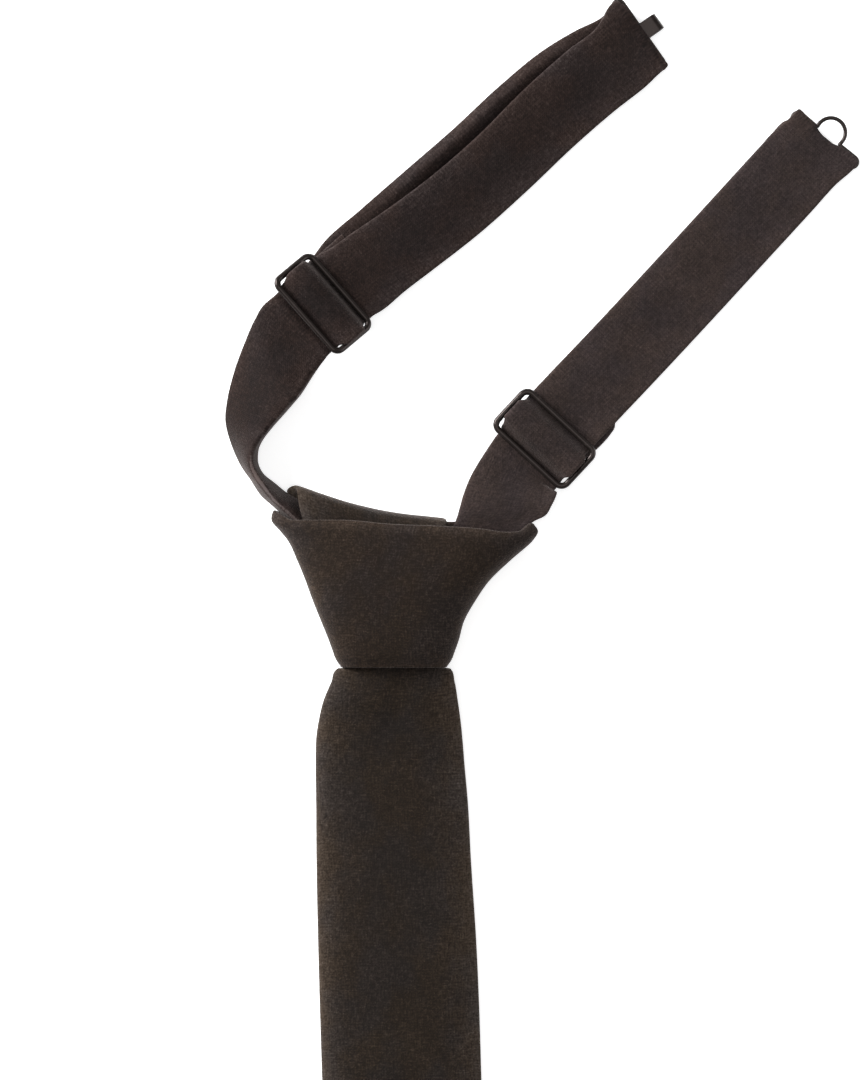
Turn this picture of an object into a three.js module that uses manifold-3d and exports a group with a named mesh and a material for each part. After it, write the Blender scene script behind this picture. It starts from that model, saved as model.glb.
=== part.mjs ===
// A black pre-tied necktie lying flat on its back, with a sewn knot and an adjustable neck band.
// Millimetres, +Z up. The layout is drawn around the middle of the knot's lower mouth: +Y runs from
// there to the neck band and -Y to the tie's point. At the end it is set on the origin of its box.
import * as THREE from 'three';
import { mergeVertices } from 'three/addons/utils/BufferGeometryUtils.js';
import Module from 'manifold-3d';

const wasm = await Module();
wasm.setup();

// Driving dimensions
const GAP = 0.3;                      // clearance between pieces that touch
const STRAP_WIDTH = 20.4;
const STRAP_THICK = 1.1;
const CLOTH_PLY = 2.2;                // folded, padded cloth where it runs through the knot
const BLADE_OVER = 2.6;               // padded blade above the line of its side folds
const BLADE_UNDER = 1.5;              // and below that line
const BLADE_SHOULDER_Y = -420;        // where the point begins
const BLADE_SHOULDER_WIDTH = 43.8;
const TIP_WIDTH = 0.8;
const WRAP_WALL = 1.9;
const BEND_LIMIT = THREE.MathUtils.degToRad(14);

const SLIDER_LENGTH = 25;             // across the strap
const SLIDER_WIDTH = 14;              // along the strap
const SLIDER_WIRE = 1.6;
const SLIDER_CORNER = 2.7;
const SLIDER_TILT_LEFT = THREE.MathUtils.degToRad(24);

const CLASP_LENGTH = 21.2;
const CLASP_WIDTH = 3.7;
const CLASP_WIRE = 1;
const EYE_RADIUS = 3.65;              // centre line of the round eye
const EYE_REACH = 2.4;                // its centre beyond the middle of the frame
const TONGUE_WIDTH = 4.4;
const TONGUE_THICK = 0.9;
const TONGUE_REACH = 6.35;            // tongue's end beyond the middle of the frame
const TONGUE_RETURN = 4.4;            // how far it comes back beneath
const TONGUE_FILLET = 0.9;

// Heights that follow from the stack under a slider: back layer, end tab, front layer, wire
const BACK_Z = STRAP_THICK / 2;
const TAB_Z = BACK_Z + STRAP_THICK + GAP;
const FRONT_Z = TAB_Z + STRAP_THICK + GAP;
const LOWEST_FRONT_Z = FRONT_Z - 0.05;
const BAR_Z = FRONT_Z + STRAP_THICK / 2 + GAP + SLIDER_WIRE / 2;
const OUTER_BAR = (SLIDER_WIDTH - SLIDER_WIRE) / 2;
const LOOP_RADIUS = SLIDER_WIRE / 2 + GAP + STRAP_THICK / 2;
const OVER_RADIUS = LOOP_RADIUS + STRAP_THICK + GAP;
const FOLD_RADIUS = CLASP_WIRE / 2 + GAP + STRAP_THICK / 2;
const CLASP_BAR = (CLASP_WIDTH - CLASP_WIRE) / 2;

// Shared helpers

// A vector in the plane of the surface the tie lies on.
const plan = (x, y) => new THREE.Vector2(x, y);

// One row of a ribbon: edge a, edge b, the thickness to both sides of the line between them, how
// high the middle arches over that line, where across the width (-1 to 1), how far it bows, and
// how high the cloth beside edge a curls over its face.
function ribbonRow(a, b, over, under, arch = 0, at = 0, bow = 0, curl = 0) {
  return {
    ax: a[0], ay: a[1], az: a[2], bx: b[0], by: b[1], bz: b[2], over, under, arch, at, bow, curl,
  };
}

function rowMiddle(row) {
  return new THREE.Vector3(
    (row.ax + row.bx) / 2,
    (row.ay + row.by) / 2,
    (row.az + row.bz) / 2,
  );
}

// Rows between the table's rows, on a smooth curve through them. Each column is a cubic whose
// slopes come from its neighbours, weighted by the distances between the rows' middles. A span
// gets a row between its ends only where the strip bends.
function smoothRows(rows) {
  const place = [0];
  for (let i = 1; i < rows.length; i += 1) {
    const span = rowMiddle(rows[i]).distanceTo(rowMiddle(rows[i - 1]));
    place.push(place[i - 1] + Math.max(span, 0.05));
  }
  const slope = (i, key) => {
    const before = Math.max(i - 1, 0);
    const after = Math.min(i + 1, rows.length - 1);
    const spanBefore = place[i] - place[before];
    const spanAfter = place[after] - place[i];
    if (spanBefore === 0) return (rows[after][key] - rows[i][key]) / spanAfter;
    if (spanAfter === 0) return (rows[i][key] - rows[before][key]) / spanBefore;
    const slopeBefore = (rows[i][key] - rows[before][key]) / spanBefore;
    const slopeAfter = (rows[after][key] - rows[i][key]) / spanAfter;
    return (slopeBefore * spanAfter + slopeAfter * spanBefore) / (spanBefore + spanAfter);
  };
  const heading = (i, j) => rowMiddle(rows[j]).sub(rowMiddle(rows[i])).normalize();
  const dense = [];
  for (let i = 0; i < rows.length - 1; i += 1) {
    const span = place[i + 1] - place[i];
    const before = heading(Math.max(i - 1, 0), Math.max(i, 1));
    const after = heading(Math.min(i + 1, rows.length - 2), Math.min(i + 2, rows.length - 1));
    const steps = before.angleTo(after) > BEND_LIMIT ? 2 : 1;
    for (let k = 0; k < steps; k += 1) {
      const t = k / steps;
      const row = {};
      for (const key of Object.keys(rows[i])) {
        const start = rows[i][key];
        const end = rows[i + 1][key];
        const startSlope = slope(i, key) * span;
        const endSlope = slope(i + 1, key) * span;
        row[key] = start * (2 * t ** 3 - 3 * t ** 2 + 1)
          + startSlope * (t ** 3 - 2 * t ** 2 + t)
          + end * (3 * t ** 2 - 2 * t ** 3)
          + endSlope * (t ** 3 - t ** 2);
      }
      dense.push(row);
    }
  }
  dense.push({ ...rows[rows.length - 1] });
  return dense;
}

// Height of an arch over the chord, 1 at the crest and 0 at both edges. A small sharpness gives a
// crease, a large one a round crown.
function archHeight(across, at, sharpness) {
  const side = across < at ? (at - across) / (1 + at) : (across - at) / (1 - at);
  const round = Math.sqrt(side * side + sharpness * sharpness) - sharpness;
  return 1 - round / (Math.sqrt(1 + sharpness * sharpness) - sharpness);
}

const FOLD_ROUND = 0.45;              // a tall and narrow arch is this much rounder at its crest
const FOLD_SLIT = 0.03;               // half of the space between the plies of a closed fold
const CREST_REACH = 0.06;             // part of the width that counts as the crest itself
const CURL_CREST = -0.7;
const CURL_END = -0.3;

// Height of the curl beside edge a: 1 at its crest, 0 at the edge and from its inner end on.
function curlHeight(across) {
  const outer = (across + 1) / (CURL_CREST + 1);
  const inner = (CURL_END - across) / (CURL_END - CURL_CREST);
  return THREE.MathUtils.clamp(Math.min(outer, inner), 0, 1);
}

// A closed strip of cloth through the rows. The profile gives the places across the width, how
// square the edges are over and under, how sharp the arch is and the depth of a seam beneath.
function ribbon(rows, profile) {
  const { places, squareOver, squareUnder, sharpness, seam = 0 } = profile;
  const last = places.length - 1;
  const loop = last * 2;
  const positions = [];
  const middles = rows.map(rowMiddle);
  rows.forEach((row, i) => {
    const along = middles[Math.min(i + 1, rows.length - 1)].clone()
      .sub(middles[Math.max(i - 1, 0)]).normalize();
    const chord = new THREE.Vector3(row.bx - row.ax, row.by - row.ay, row.bz - row.az);
    const across = chord.clone().addScaledVector(along, -chord.dot(along)).normalize();
    const up = across.clone().cross(along);
    const crown = Math.max(sharpness, (FOLD_ROUND * row.arch) / chord.length());
    const middleLine = (u) => middles[i].clone()
      .addScaledVector(chord, u / 2)
      .addScaledVector(up, row.arch * archHeight(u, row.at, crown))
      .addScaledVector(up, row.curl * curlHeight(u))
      .add(new THREE.Vector3(0, -row.bow * (1 - u * u), 0));
    // Inside a narrow fold the two plies meet and don't pass through each other.
    const keptApart = (place, u) => {
      const side = Math.sign(u - row.at);
      const fromCrest = place.clone().sub(middleLine(row.at));
      const away = fromCrest.dot(across) * side;
      if (Math.abs(u - row.at) < CREST_REACH || away >= FOLD_SLIT) return place;
      const drop = Math.min(fromCrest.dot(up), -row.under - FOLD_SLIT) - fromCrest.dot(up);
      return place.addScaledVector(across, (FOLD_SLIT - away) * side).addScaledVector(up, drop);
    };
    const point = (u, isOver) => {
      const step = 0.02;
      const before = middleLine(Math.max(u - step, -1));
      const after = middleLine(Math.min(u + step, 1));
      const normal = after.sub(before).normalize().cross(along).normalize();
      const square = isOver ? squareOver : squareUnder;
      const edge = Math.sqrt(Math.max(1 - Math.abs(u) ** square, 0));
      const groove = !isOver && u === 0 ? seam : 0;
      const reach = isOver ? row.over * edge : groove - row.under * edge;
      const place = middleLine(u).addScaledVector(normal, reach);
      return isOver ? place : keptApart(place, u);
    };
    places.forEach((u) => positions.push(...point(u, true).toArray()));
    for (let k = last - 1; k > 0; k -= 1) positions.push(...point(places[k], false).toArray());
  });
  const index = [];
  for (let i = 0; i < rows.length - 1; i += 1) {
    for (let k = 0; k < loop; k += 1) {
      const next = (k + 1) % loop;
      const [p, q] = [i * loop + k, i * loop + next];
      const [r, s] = [p + loop, q + loop];
      index.push(p, q, r, q, s, r);
    }
  }
  const under = (k) => (loop - k) % loop;
  for (const [start, flip] of [[0, false], [(rows.length - 1) * loop, true]]) {
    for (let k = 0; k < last; k += 1) {
      const quad = [start + k, start + k + 1, start + under(k + 1), start + under(k)];
      const faces = [[quad[0], quad[2], quad[1]], [quad[0], quad[3], quad[2]]];
      for (const face of faces) {
        if (new Set(face).size < 3) continue;
        index.push(...(flip ? face.reverse() : face));
      }
    }
  }
  return closedGeometry(positions, index);
}

function closedGeometry(positions, index) {
  const geometry = new THREE.BufferGeometry();
  geometry.setAttribute('position', new THREE.Float32BufferAttribute(positions, 3));
  geometry.setIndex(index);
  return geometry;
}

// A closed wire of round section along a closed outline in the plane, counter-clockwise.
function wireLoop(outline, radius, sides) {
  const positions = [];
  const index = [];
  const count = outline.length;
  outline.forEach((point, i) => {
    const before = outline[(i + count - 1) % count];
    const after = outline[(i + 1) % count];
    const into = point.clone().sub(before).normalize();
    const out = after.clone().sub(point).normalize();
    const normal = plan(into.y + out.y, -into.x - out.x).normalize();
    const stretch = 1 / Math.max(normal.dot(plan(into.y, -into.x)), 0.5);
    for (let k = 0; k < sides; k += 1) {
      const turn = (2 * Math.PI * (k + 0.5)) / sides;
      const reach = radius * Math.cos(turn) * stretch;
      positions.push(point.x + normal.x * reach, point.y + normal.y * reach);
      positions.push(radius * Math.sin(turn));
    }
  });
  for (let i = 0; i < count; i += 1) {
    for (let k = 0; k < sides; k += 1) {
      const p = i * sides + k;
      const q = i * sides + ((k + 1) % sides);
      const r = ((i + 1) % count) * sides + k;
      const s = ((i + 1) % count) * sides + ((k + 1) % sides);
      index.push(p, r, q, q, r, s);
    }
  }
  return closedGeometry(positions, index);
}

// Points of an arc about a centre, in degrees, with both ends.
function arcPoints(centre, radius, fromDegrees, toDegrees, pieces) {
  const points = [];
  for (let i = 0; i <= pieces; i += 1) {
    const degrees = fromDegrees + ((toDegrees - fromDegrees) * i) / pieces;
    const turn = THREE.MathUtils.degToRad(degrees);
    points.push(plan(centre.x + radius * Math.cos(turn), centre.y + radius * Math.sin(turn)));
  }
  return points;
}

function toSolid(geometry) {
  const bare = geometry.clone();
  bare.deleteAttribute('normal');
  bare.deleteAttribute('uv');
  const merged = mergeVertices(bare, 1e-4);
  return new wasm.Manifold(new wasm.Mesh({
    numProp: 3,
    vertProperties: new Float32Array(merged.attributes.position.array),
    triVerts: new Uint32Array(merged.index.array),
  }));
}

function joined(geometries) {
  let solid = toSolid(geometries[0]);
  for (const geometry of geometries.slice(1)) solid = solid.add(toSolid(geometry));
  const mesh = solid.getMesh();
  return closedGeometry(Array.from(mesh.vertProperties), Array.from(mesh.triVerts));
}

// Materials
const clothBlack = () => new THREE.MeshStandardMaterial({
  color: 0x2e2825, roughness: 0.9, metalness: 0,
});
const paintedBlack = () => new THREE.MeshStandardMaterial({
  color: 0x17161a, roughness: 0.35, metalness: 0.6,
});

const layout = new THREE.Group();

function addPiece(name, geometry, material) {
  const flat = geometry.index ? geometry.toNonIndexed() : geometry;
  flat.computeVertexNormals();
  const mesh = new THREE.Mesh(flat, material);
  mesh.name = name;
  layout.add(mesh);
  return mesh;
}

// Blade: the hidden end behind the knot, up and over the neck band, down through the knot and on
// to the point. Edge a is its right side fold and edge b its left one.

// Rows of the stretch that loops over the neck band: right edge, left edge, how far it bows down
const LOOP_ROWS = [
  { rx: 10.0, ry: 9.0, rz: 3.3, lx: -10.5, ly: 9.0, lz: 3.3, bow: 0 },
  { rx: 12.5, ry: 18.0, rz: 3.3, lx: -15.0, ly: 18.5, lz: 3.3, bow: 0 },
  { rx: 13.6, ry: 25.0, rz: 3.3, lx: -18.6, ly: 26.5, lz: 3.3, bow: 0.3 },
  { rx: 13.4, ry: 31.8, rz: 3.4, lx: -22.4, ly: 35.8, lz: 3.6, bow: 0.9 },
  { rx: 13.2, ry: 34.0, rz: 3.7, lx: -25.4, ly: 40.6, lz: 3.7, bow: 1.6 },
  { rx: 13.0, ry: 35.5, rz: 4.6, lx: -26.9, ly: 43.3, lz: 4.4, bow: 2.2 },
  { rx: 12.7, ry: 36.4, rz: 7.3, lx: -24.9, ly: 44.8, lz: 7.6, bow: 2.5 },
  { rx: 12.8, ry: 35.5, rz: 10.2, lx: -24.2, ly: 43.5, lz: 10.4, bow: 2.3 },
  { rx: 12.9, ry: 32.2, rz: 11.0, lx: -23.7, ly: 40.0, lz: 11.3, bow: 1.5 },
  { rx: 13.2, ry: 27.0, rz: 9.8, lx: -21.6, ly: 32.5, lz: 10.7, bow: 0.4 },
];

// Rows from inside the knot down to the shoulders of the point: left and right edge, height of
// the side folds, thickness over and under them, arch of the middle
const HANG_ROWS = [
  { y: 21.0, left: -18.0, right: 13.6, z: 8.7, over: 1.1, under: 1.1, arch: 1.8 },
  { y: 12.0, left: -14.6, right: 13.0, z: 6.9, over: 1.5, under: 1.5, arch: 1.6 },
  { y: 4.0, left: -12.3, right: 11.8, z: 5.4, over: 2.0, under: 2.0, arch: 0.8 },
  { y: 0.6, left: -12.0, right: 11.5, z: 4.9, over: 2.2, under: 2.1, arch: 0.6 },
  { y: -0.5, left: -12.2, right: 11.7, z: 4.75, over: 2.3, under: 2.1, arch: 0.5 },
  { y: -0.8, left: -14.4, right: 13.9, z: 4.72, over: 2.3, under: 2.1, arch: 0.5 },
  { y: -4.0, left: -15.8, right: 14.9, z: 4.3, over: 2.5, under: 2.1, arch: 0.4 },
  { y: -8.8, left: -17.8, right: 15.7, z: 3.6, over: 2.7, under: 2.0, arch: 0.2 },
  { y: -13.8, left: -19.0, right: 16.4, z: 2.8, over: 2.7, under: 1.8, arch: 0 },
  { y: -18.8, left: -19.7, right: 16.9, z: 2.2, over: 2.7, under: 1.6, arch: 0 },
  { y: -25.0, left: -19.8, right: 17.4, z: 1.7, over: 2.6, under: 1.5, arch: 0 },
  { y: -34.0, left: -19.7, right: 18.2, z: 1.5, over: 2.6, under: 1.5, arch: 0 },
  { y: -48.8, left: -19.6, right: 19.0, z: 1.5, over: 2.6, under: 1.5, arch: 0 },
  { y: -68.8, left: -19.2, right: 20.3, z: 1.5, over: 2.6, under: 1.5, arch: 0 },
  { y: -84.0, left: -18.8, right: 21.0, z: 1.5, over: 2.6, under: 1.5, arch: 0 },
  { y: -103.5, left: -18.2, right: 21.6, z: 1.5, over: 2.6, under: 1.5, arch: 0 },
];
const BLADE_SLANT = 0.0383;           // sideways drift of the blade's middle for each mm down
const BLADE_STRAIGHT_ROWS = 5;
const TIP_ROWS = 4;

function bladeRows() {
  const half = CLOTH_PLY / 2;
  const rows = LOOP_ROWS.map((row) => ribbonRow(
    [row.rx, row.ry, row.rz], [row.lx, row.ly, row.lz], half, half, 0, 0, row.bow,
  ));
  for (const row of HANG_ROWS) {
    rows.push(ribbonRow(
      [row.right, row.y, row.z], [row.left, row.y, row.z], row.over, row.under, row.arch,
    ));
  }
  const dense = smoothRows(rows);
  const lastRow = HANG_ROWS[HANG_ROWS.length - 1];
  const startMiddle = (lastRow.left + lastRow.right) / 2;
  const startWidth = lastRow.right - lastRow.left;
  const straightRow = (y, width, over, under) => {
    const middle = startMiddle + BLADE_SLANT * (lastRow.y - y);
    return ribbonRow(
      [middle + width / 2, y, lastRow.z], [middle - width / 2, y, lastRow.z], over, under,
    );
  };
  for (let i = 1; i <= BLADE_STRAIGHT_ROWS; i += 1) {
    const part = i / BLADE_STRAIGHT_ROWS;
    const y = lastRow.y + (BLADE_SHOULDER_Y - lastRow.y) * part;
    const width = startWidth + (BLADE_SHOULDER_WIDTH - startWidth) * part;
    dense.push(straightRow(y, width, BLADE_OVER, BLADE_UNDER));
  }
  for (let i = 1; i <= TIP_ROWS; i += 1) {
    const part = i / TIP_ROWS;
    const width = BLADE_SHOULDER_WIDTH + (TIP_WIDTH - BLADE_SHOULDER_WIDTH) * part;
    const y = BLADE_SHOULDER_Y - (BLADE_SHOULDER_WIDTH - width) / 2;
    const over = BLADE_OVER * (1 - 0.45 * part ** 2);
    dense.push(straightRow(y, width, over, BLADE_UNDER));
  }
  return dense;
}

const BLADE_PROFILE = {
  places: [-1, -0.975, -0.9, -0.7, -0.4, -0.05, 0, 0.05, 0.4, 0.7, 0.9, 0.975, 1],
  squareOver: 4,
  squareUnder: 14,
  sharpness: 1.5,
  seam: 0.5,
};

addPiece('blade', ribbon(bladeRows(), BLADE_PROFILE), clothBlack());

// Knot wrap: a flattened tapering sleeve, open above and below.

// Outline of the sleeve from the front, its thickness and the height of its side folds
const WRAP_ROWS = [
  { y: 0.0, left: -14.4, right: 13.9, front: 10.8, fold: 4.6 },
  { y: 2.5, left: -15.1, right: 14.6, front: 11.8, fold: 4.8 },
  { y: 6.2, left: -16.4, right: 15.9, front: 12.8, fold: 5.2 },
  { y: 11.2, left: -18.4, right: 17.3, front: 13.8, fold: 5.7 },
  { y: 16.2, left: -20.4, right: 20.1, front: 14.6, fold: 6.2 },
  { y: 21.2, left: -22.2, right: 23.6, front: 15.2, fold: 6.6 },
  { y: 26.3, left: -24.3, right: 28.9, front: 15.6, fold: 6.9 },
  { y: 31.3, left: -26.7, right: 34.5, front: 15.8, fold: 7.1 },
  { y: 33.5, left: -28.5, right: 36.0, front: 15.8, fold: 7.2 },
  { y: 35.6, left: -30.4, right: 35.4, front: 15.6, fold: 7.3 },
  { y: 38.3, left: -31.1, right: 34.0, front: 15.2, fold: 7.4 },
];

// Height of the upper rim at places across the knot, -1 at its left end and 1 at its right end
const RIM_ROWS = [
  { across: -1.0, front: 38.2, back: 38.2 },
  { across: -0.94, front: 36.8, back: 37.2 },
  { across: -0.88, front: 35.8, back: 36.2 },
  { across: -0.5, front: 35.8, back: 34.6 },
  { across: -0.13, front: 34.8, back: 33.6 },
  { across: 0.28, front: 34.8, back: 33.0 },
  { across: 0.32, front: 35.4, back: 33.0 },
  { across: 0.41, front: 35.4, back: 33.0 },
  { across: 0.57, front: 33.6, back: 33.0 },
  { across: 0.88, front: 32.9, back: 32.6 },
  { across: 0.95, front: 35.0, back: 32.6 },
  { across: 0.99, front: 35.0, back: 32.8 },
  { across: 1.0, front: 33.2, back: 33.2 },
];
const WRAP_SQUARE = 3;                // 2 would make the sleeve's section an ellipse
const WRAP_COLUMNS = 36;
const WRAP_RINGS = [0, 0.04, 0.13, 0.26, 0.42, 0.6, 0.77, 0.9, 1];
const WRAP_PRESS = 0.8;               // how much of the section the surface presses flat
const RIM_ROUND = 0.2;                // how far the rolled rim stands out between its walls

function tableValue(table, keyColumn, key, column) {
  const top = table[table.length - 1];
  if (key <= table[0][keyColumn]) return table[0][column];
  if (key >= top[keyColumn]) return top[column];
  const i = table.findIndex((row) => row[keyColumn] > key) - 1;
  const part = (key - table[i][keyColumn]) / (table[i + 1][keyColumn] - table[i][keyColumn]);
  return table[i][column] + (table[i + 1][column] - table[i][column]) * part;
}

function wrapPoint(column, height, depth) {
  const turn = (2 * Math.PI * column) / WRAP_COLUMNS;
  const power = 2 / WRAP_SQUARE;
  const across = Math.sign(Math.cos(turn)) * Math.abs(Math.cos(turn)) ** power;
  const rise = Math.sign(Math.sin(turn)) * Math.abs(Math.sin(turn)) ** power;
  const isFront = Math.sin(turn) >= 0;
  const rim = tableValue(RIM_ROWS, 'across', across, isFront ? 'front' : 'back');
  const y = rim * height;
  const at = (column_) => tableValue(WRAP_ROWS, 'y', y, column_);
  const middle = (at('left') + at('right')) / 2;
  const half = (at('right') - at('left')) / 2 - depth;
  const fold = at('fold');
  const reach = isFront ? at('front') - fold - depth : fold + WRAP_PRESS - depth;
  return new THREE.Vector3(middle + across * half, y, Math.max(fold + rise * reach, depth));
}

function wrapGeometry() {
  const rings = WRAP_RINGS.map((height) => ({ height, depth: 0, lift: 0 }));
  rings.push({ height: 1, depth: WRAP_WALL / 2, lift: RIM_ROUND });
  for (const height of [...WRAP_RINGS].reverse()) rings.push({ height, depth: WRAP_WALL, lift: 0 });
  rings.push({ height: 0, depth: WRAP_WALL / 2, lift: -RIM_ROUND });
  const positions = [];
  for (const ring of rings) {
    for (let column = 0; column < WRAP_COLUMNS; column += 1) {
      const point = wrapPoint(column, ring.height, ring.depth);
      point.y += ring.lift;
      positions.push(...point.toArray());
    }
  }
  const index = [];
  for (let i = 0; i < rings.length; i += 1) {
    for (let k = 0; k < WRAP_COLUMNS; k += 1) {
      const next = (k + 1) % WRAP_COLUMNS;
      const above = ((i + 1) % rings.length) * WRAP_COLUMNS;
      const p = i * WRAP_COLUMNS + k;
      const q = i * WRAP_COLUMNS + next;
      index.push(p, above + k, q, q, above + k, above + next);
    }
  }
  return closedGeometry(positions, index);
}

addPiece('knot_wrap', wrapGeometry(), clothBlack());

// Neck band: one strap to each side. Edge a is on the left of its run from the knot to its clasp.

// Where a slider lies, which way its strap runs on from it, and the slider's tilt
const SLIDER_RIGHT = { at: plan(37.25, 56.45), along: plan(0.68, 0.733).normalize(), tilt: 0 };
const SLIDER_LEFT = {
  at: plan(-17.85, 90.0), along: plan(0.752, 0.659).normalize(), tilt: SLIDER_TILT_LEFT,
};

// Where the clasps' frames lie, the way they face and their skew against the strap
const EYE = { at: plan(107.3, 131.1), z: FOLD_RADIUS + STRAP_THICK / 2, skew: 4 };
const HOOK = { at: plan(60.8, 157.3), z: FOLD_RADIUS + STRAP_THICK / 2 + 0.7, skew: -5.5 };

// A strap across a run that starts at a place: distance along it, height, reach to edge a and b.
function acrossRow(at, along, run, z, reachA, reachB, skew = 0) {
  const half = STRAP_THICK / 2;
  const edge = (reach) => [
    at.x + along.x * (run + reach * skew) + along.y * reach,
    at.y + along.y * (run + reach * skew) - along.x * reach,
    z,
  ];
  return ribbonRow(edge(-reachA), edge(reachB), half, half);
}

// Half of the width that a strap gains where it spreads to fill a slider's slots
const SLOT_FILL = SLIDER_LENGTH / 2 - SLIDER_WIRE - GAP - STRAP_WIDTH / 2;

// Run and height of the strap as it climbs over a slider's middle bar, in the slider's own plane,
// and what each edge gains on half of its width
const OVER_BAR = [
  { run: -OUTER_BAR - 1.6, rise: -LOOP_RADIUS, reachA: -0.9, reachB: 0.4 },
  { run: -OUTER_BAR + 0.2, rise: -LOOP_RADIUS - 0.05, reachA: -0.7, reachB: 0.3 },
  { run: -4.9, rise: -1.15, reachA: -0.2, reachB: 0.1 },
  { run: -4.0, rise: -0.1, reachA: 0, reachB: 0 },
  { run: -2.5, rise: 1.95, reachA: SLOT_FILL, reachB: SLOT_FILL },
  { run: -0.9, rise: OVER_RADIUS, reachA: SLOT_FILL, reachB: SLOT_FILL },
  { run: 0.9, rise: OVER_RADIUS, reachA: SLOT_FILL, reachB: SLOT_FILL },
  { run: 2.6, rise: 1.95, reachA: SLOT_FILL, reachB: SLOT_FILL },
  { run: 4.0, rise: -0.1, reachA: 0, reachB: 0 },
  { run: 4.9, rise: -1.15, reachA: 0, reachB: 0 },
  { run: OUTER_BAR - 0.2, rise: -LOOP_RADIUS - 0.05, reachA: 0, reachB: 0 },
  { run: OUTER_BAR + 1.6, rise: -LOOP_RADIUS, reachA: 0, reachB: 0 },
];

function sliderZ(slider) {
  return BAR_Z + OUTER_BAR * Math.sin(slider.tilt);
}

// A place in a slider's own plane, as run and height; a tilted slider has its knot side up.
function inSlider(slider, run, rise) {
  return {
    run: run * Math.cos(slider.tilt) + rise * Math.sin(slider.tilt),
    z: sliderZ(slider) - run * Math.sin(slider.tilt) + rise * Math.cos(slider.tilt),
  };
}

function overBarRows(slider) {
  return OVER_BAR.map((row) => {
    const place = inSlider(slider, row.run, row.rise);
    const z = Math.max(place.z, LOWEST_FRONT_Z);
    const half = STRAP_WIDTH / 2;
    return acrossRow(
      slider.at, slider.along, place.run, z, half + row.reachA, half + row.reachB,
    );
  });
}

// The fold round a clasp's inner bar, from the front layer to the back layer.
function claspFoldRows(clasp, along) {
  const side = THREE.MathUtils.degToRad(clasp.skew);
  const skew = Math.tan(side);
  const narrow = (CLASP_LENGTH - 2 * CLASP_WIRE) / 2 - GAP;
  return [90, 60, 30, 0, -30, -60, -90].map((degrees) => {
    const turn = THREE.MathUtils.degToRad(degrees);
    const run = -CLASP_BAR + FOLD_RADIUS * Math.cos(turn);
    const z = clasp.z + FOLD_RADIUS * Math.sin(turn);
    const reach = Math.abs(degrees) > 45 ? STRAP_WIDTH / 2 : narrow;
    return acrossRow(clasp.at, along, run, z, reach, reach, skew);
  });
}

// The loop round a slider's middle bar, from beneath, round its knot side and over it.
function barLoopRows(slider, width) {
  return [-90, -130, -170, -210, -250, -290, -330].map((degrees) => {
    const turn = THREE.MathUtils.degToRad(degrees);
    const place = inSlider(slider, LOOP_RADIUS * Math.cos(turn), LOOP_RADIUS * Math.sin(turn));
    return acrossRow(slider.at, slider.along, place.run, place.z, width / 2, width / 2);
  });
}

// Straight and curved stretches given by both edges in plan: heights, arch and its place
function edgeRow(row) {
  const half = STRAP_THICK / 2;
  return ribbonRow(
    [row.ax, row.ay, row.az ?? row.z], [row.bx, row.by, row.bz ?? row.z],
    half, half, row.arch ?? 0, row.at ?? 0, 0, row.curl ?? 0,
  );
}

// Right strap from its hidden end in the knot up to its slider
const RIGHT_START = [
  { ax: -3.0, ay: 26.0, bx: 14.6, by: 19.0, z: 6.8 },
  { ax: 4.0, ay: 29.2, bx: 22.0, by: 22.8, z: 6.9 },
  { ax: 10.8, ay: 31.8, bx: 28.6, by: 28.2, z: 7.1 },
  { ax: 14.4, ay: 34.4, bx: 32.5, by: 33.2, z: 7.2 },
  { ax: 15.4, ay: 36.8, bx: 34.2, by: 35.6, z: 7.2 },
  { ax: 16.1, ay: 39.2, bx: 37.3, by: 37.2, z: 6.7 },
  { ax: 17.2, ay: 43.0, bx: 39.0, by: 39.8, z: 5.6 },
  { ax: 19.9, ay: 49.0, bx: 40.4, by: 43.0, z: 4.3 },
];

// Front layer from the right slider to the eye, and back layer home again: run, height and how
// far it lies off centre towards edge b
const RIGHT_FRONT = [
  { run: 13.0, z: FRONT_Z, shift: 0.1 }, { run: 16.5, z: FRONT_Z - 0.1, shift: 0.1 },
  { run: 24.0, z: 2.2, shift: 0.2 }, { run: 45.0, z: 2.0, shift: 0.3 },
  { run: 70.0, z: 2.0, shift: 0.2 }, { run: 88.0, z: 2.3, shift: 0.1 },
  { run: 96.0, z: 3.1, shift: 0 },
];
const RIGHT_BACK = [
  { run: 98.6, z: BACK_Z, shift: 0 }, { run: 94.0, z: BACK_Z, shift: 0 },
  { run: 60.0, z: BACK_Z, shift: 0.2 }, { run: 24.0, z: BACK_Z, shift: 0.2 },
  { run: 10.0, z: BACK_Z, shift: 0 },
];

// The back layer's rise to the loop, and the end tab that is sewn down on it: run, height
const LEVEL_RISE = [
  { run: 6.0, z: BACK_Z, shift: 0 }, { run: 3.4, z: 1.1, shift: 0 }, { run: 1.6, z: 2.35, shift: 0 },
];
const LEVEL_TAB = [
  { run: 2.35, z: 3.6, shift: 0.3 }, { run: 3.7, z: 2.35, shift: 0.8 },
  { run: 6.2, z: TAB_Z, shift: 1.1 }, { run: 15.0, z: TAB_Z, shift: 1.1 },
];

function rightStrapRows() {
  const { at, along } = SLIDER_RIGHT;
  const half = STRAP_WIDTH / 2;
  const level = (row) => acrossRow(
    at, along, row.run, row.z, half - row.shift, half + row.shift,
  );
  return [
    ...RIGHT_START.map(edgeRow),
    ...overBarRows(SLIDER_RIGHT),
    ...RIGHT_FRONT.map(level),
    ...claspFoldRows(EYE, along),
    ...RIGHT_BACK.map(level),
    ...LEVEL_RISE.map(level),
    ...barLoopRows(SLIDER_RIGHT, STRAP_WIDTH),
    ...LEVEL_TAB.map(level),
  ];
}

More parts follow.
